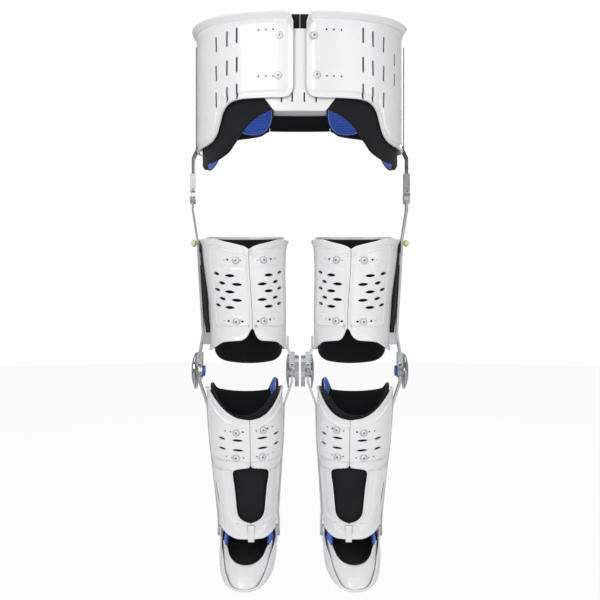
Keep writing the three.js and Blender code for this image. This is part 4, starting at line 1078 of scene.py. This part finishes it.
zinc, tree, shader = new_material("bright_zinc_plated_steel")
haze = noise(tree, 300.0, 4.0)
# Painted shade: ambient occlusion turns the hexagon socket and the gap under the head near black.
painted_recess_shade = add(tree, "ShaderNodeAmbientOcclusion", {"Distance": 0.003}).outputs["AO"]
colour_with_painted_shade = blend(tree, ramp(tree, painted_recess_shade, 0.3, 0.9, 0.9, 0.0), blend(tree, haze, "#e2e4e6", "#f4f5f6"), "#2a2c2e")
dress(tree, shader, (0.1, 0.0001, haze), base_color=colour_with_painted_shade, roughness=ramp(tree, haze, 0.0, 1.0, 0.3, 0.5),
      metallic=0.35)
screw = turned("socket_button_screw", [(7.6, -1.2), (7.6, 0.0), (7.2, 0.45), (6.3, 0.5), (5.95, -0.7), (5.45, -0.7),
                                       (5.4, 1.3), (4.9, 2.0), (3.9, 2.5), (2.9, 2.7)], hexagon=2.3, deep=1.9)
band_screws = [(1, 4.9, 48.2), (1, 6.1, -18.4), (-1, 7.5, 48.7), (-1, 8.1, -19.3)]
groups = [("pelvis_screws", "pelvis", [spot(band_form, a, z, 1.9, side) for side, a, z in band_screws])]
for side, sign in (("left", 1), ("right", -1)):
    groups.append((f"thigh_screws_{side}", "thigh_" + side, [spot(thigh_form, seam + a, z, 0.8, sign) for a, z in (
        (14.2, -330.4), (-19.3, -329.3), (18.8, -438.8), (-16.4, -437.1))]))
    groups.append((f"shank_screws_{side}", "shank_" + side, [spot(shank_form, seam + a, z, 0.9, sign) for a, z in (
        (17.1, -637.4), (-19.8, -632.9), (18.8, -682.6), (-19.3, -681.8))]))
for name, body, spots in groups:
    item = repeats(name, screw, spots, zinc)
    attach(item, body)

# Knee covers: spun caps with a rolled bead, chrome plated, over the joint heads. The outer one
# is deep; the inner one is a shallow cap on the side of the calf.


def facing_x(mesh, centre, direction=1):
    """Turns a shape from +Z to +X or -X and moves it, in millimetres."""
    turn = Matrix.Rotation(math.radians(90 * direction), 4, "Y")
    mesh.transform(Matrix.Translation(Vector(centre) / 1000) @ turn)
    return mesh


hip_z, knee_y, knee_z = -210, 26, -533
outer_cap = facing_x(turned("knee_cover_spun_left", [(33, 0), (34, 0.6), (34, 2.2), (33, 3.2), (31.4, 3.4), (30, 4.4),
                            (26, 6.2), (20, 7.6), (13, 8.5), (11, 8.2), (9.5, 8.8), (5, 9.0), (1, 9.0)], sides=64),
                     (193.7, knee_y, knee_z))
inner_cap = facing_x(turned("knee_inner_cover_left", [(31, 0), (32, 0.5), (32, 1.8), (31, 2.6), (29.4, 2.8), (24, 4.0),
                            (16, 5.0), (8, 5.4), (1, 5.5)], sides=64), (20.8, knee_y, knee_z))
pair(new_object("knee_cover_spun_left", outer_cap), "knee_cover_spun", cover, "thigh_", "knee_cover_")
pair(new_object("knee_inner_cover_left", inner_cap), "knee_inner_cover", cover, "thigh_")

# Black side web: a moulded rubber strip that fills the wedge between the thigh cuff and the steel upright beside it,
# broad at the top and thin at the bracket below. Its black is partly a dark strip beside the upright and partly painted
# shadow in the gap.
web_rows = [(-288, 176, 186.6), (-300, 174.5, 186.2), (-330, 175, 184.6), (-380, 172.5, 182.2), (-430, 169.5, 179.6),
            (-462, 168, 177.0)]
rubber = moulded("moulded_black_rubber", 420.0, 4.0, "#101112", "#1e1f20", 0.3, 0.6)
left, right = curve([(z, a) for z, a, _ in web_rows]), curve([(z, b) for z, _, b in web_rows])
web_low, web_tall, steps, sides = -462, 174, 60, 20


def squared(value):
    return math.copysign(abs(value) ** 0.6, value)


mesh = bmesh.new()
rings = []
for k in range(steps + 1):
    z = web_low + web_tall * k / steps
    share = min(1.0, 3 * min(k, steps - k) / steps + 0.35)
    middle, wide = (left(z) + right(z)) / 2, (right(z) - left(z)) / 2
    line = knee_y * (z - hip_z) / (knee_z - hip_z)
    rings.append([mesh.verts.new(Vector((middle + wide * squared(math.cos(a)), line + 11 * share * squared(math.sin(a)),
                                         z)) / 1000) for a in circle(sides)])
for low, high in zip(rings, rings[1:]):
    bridge(mesh, low, high)
mesh.faces.new(reversed(rings[0]))
mesh.faces.new(rings[-1])
web = new_object("thigh_side_web_left", mesh_of("thigh_side_web_left", mesh))
pair(web, "thigh_side_web", (rubber, "black_foam"), "thigh_")
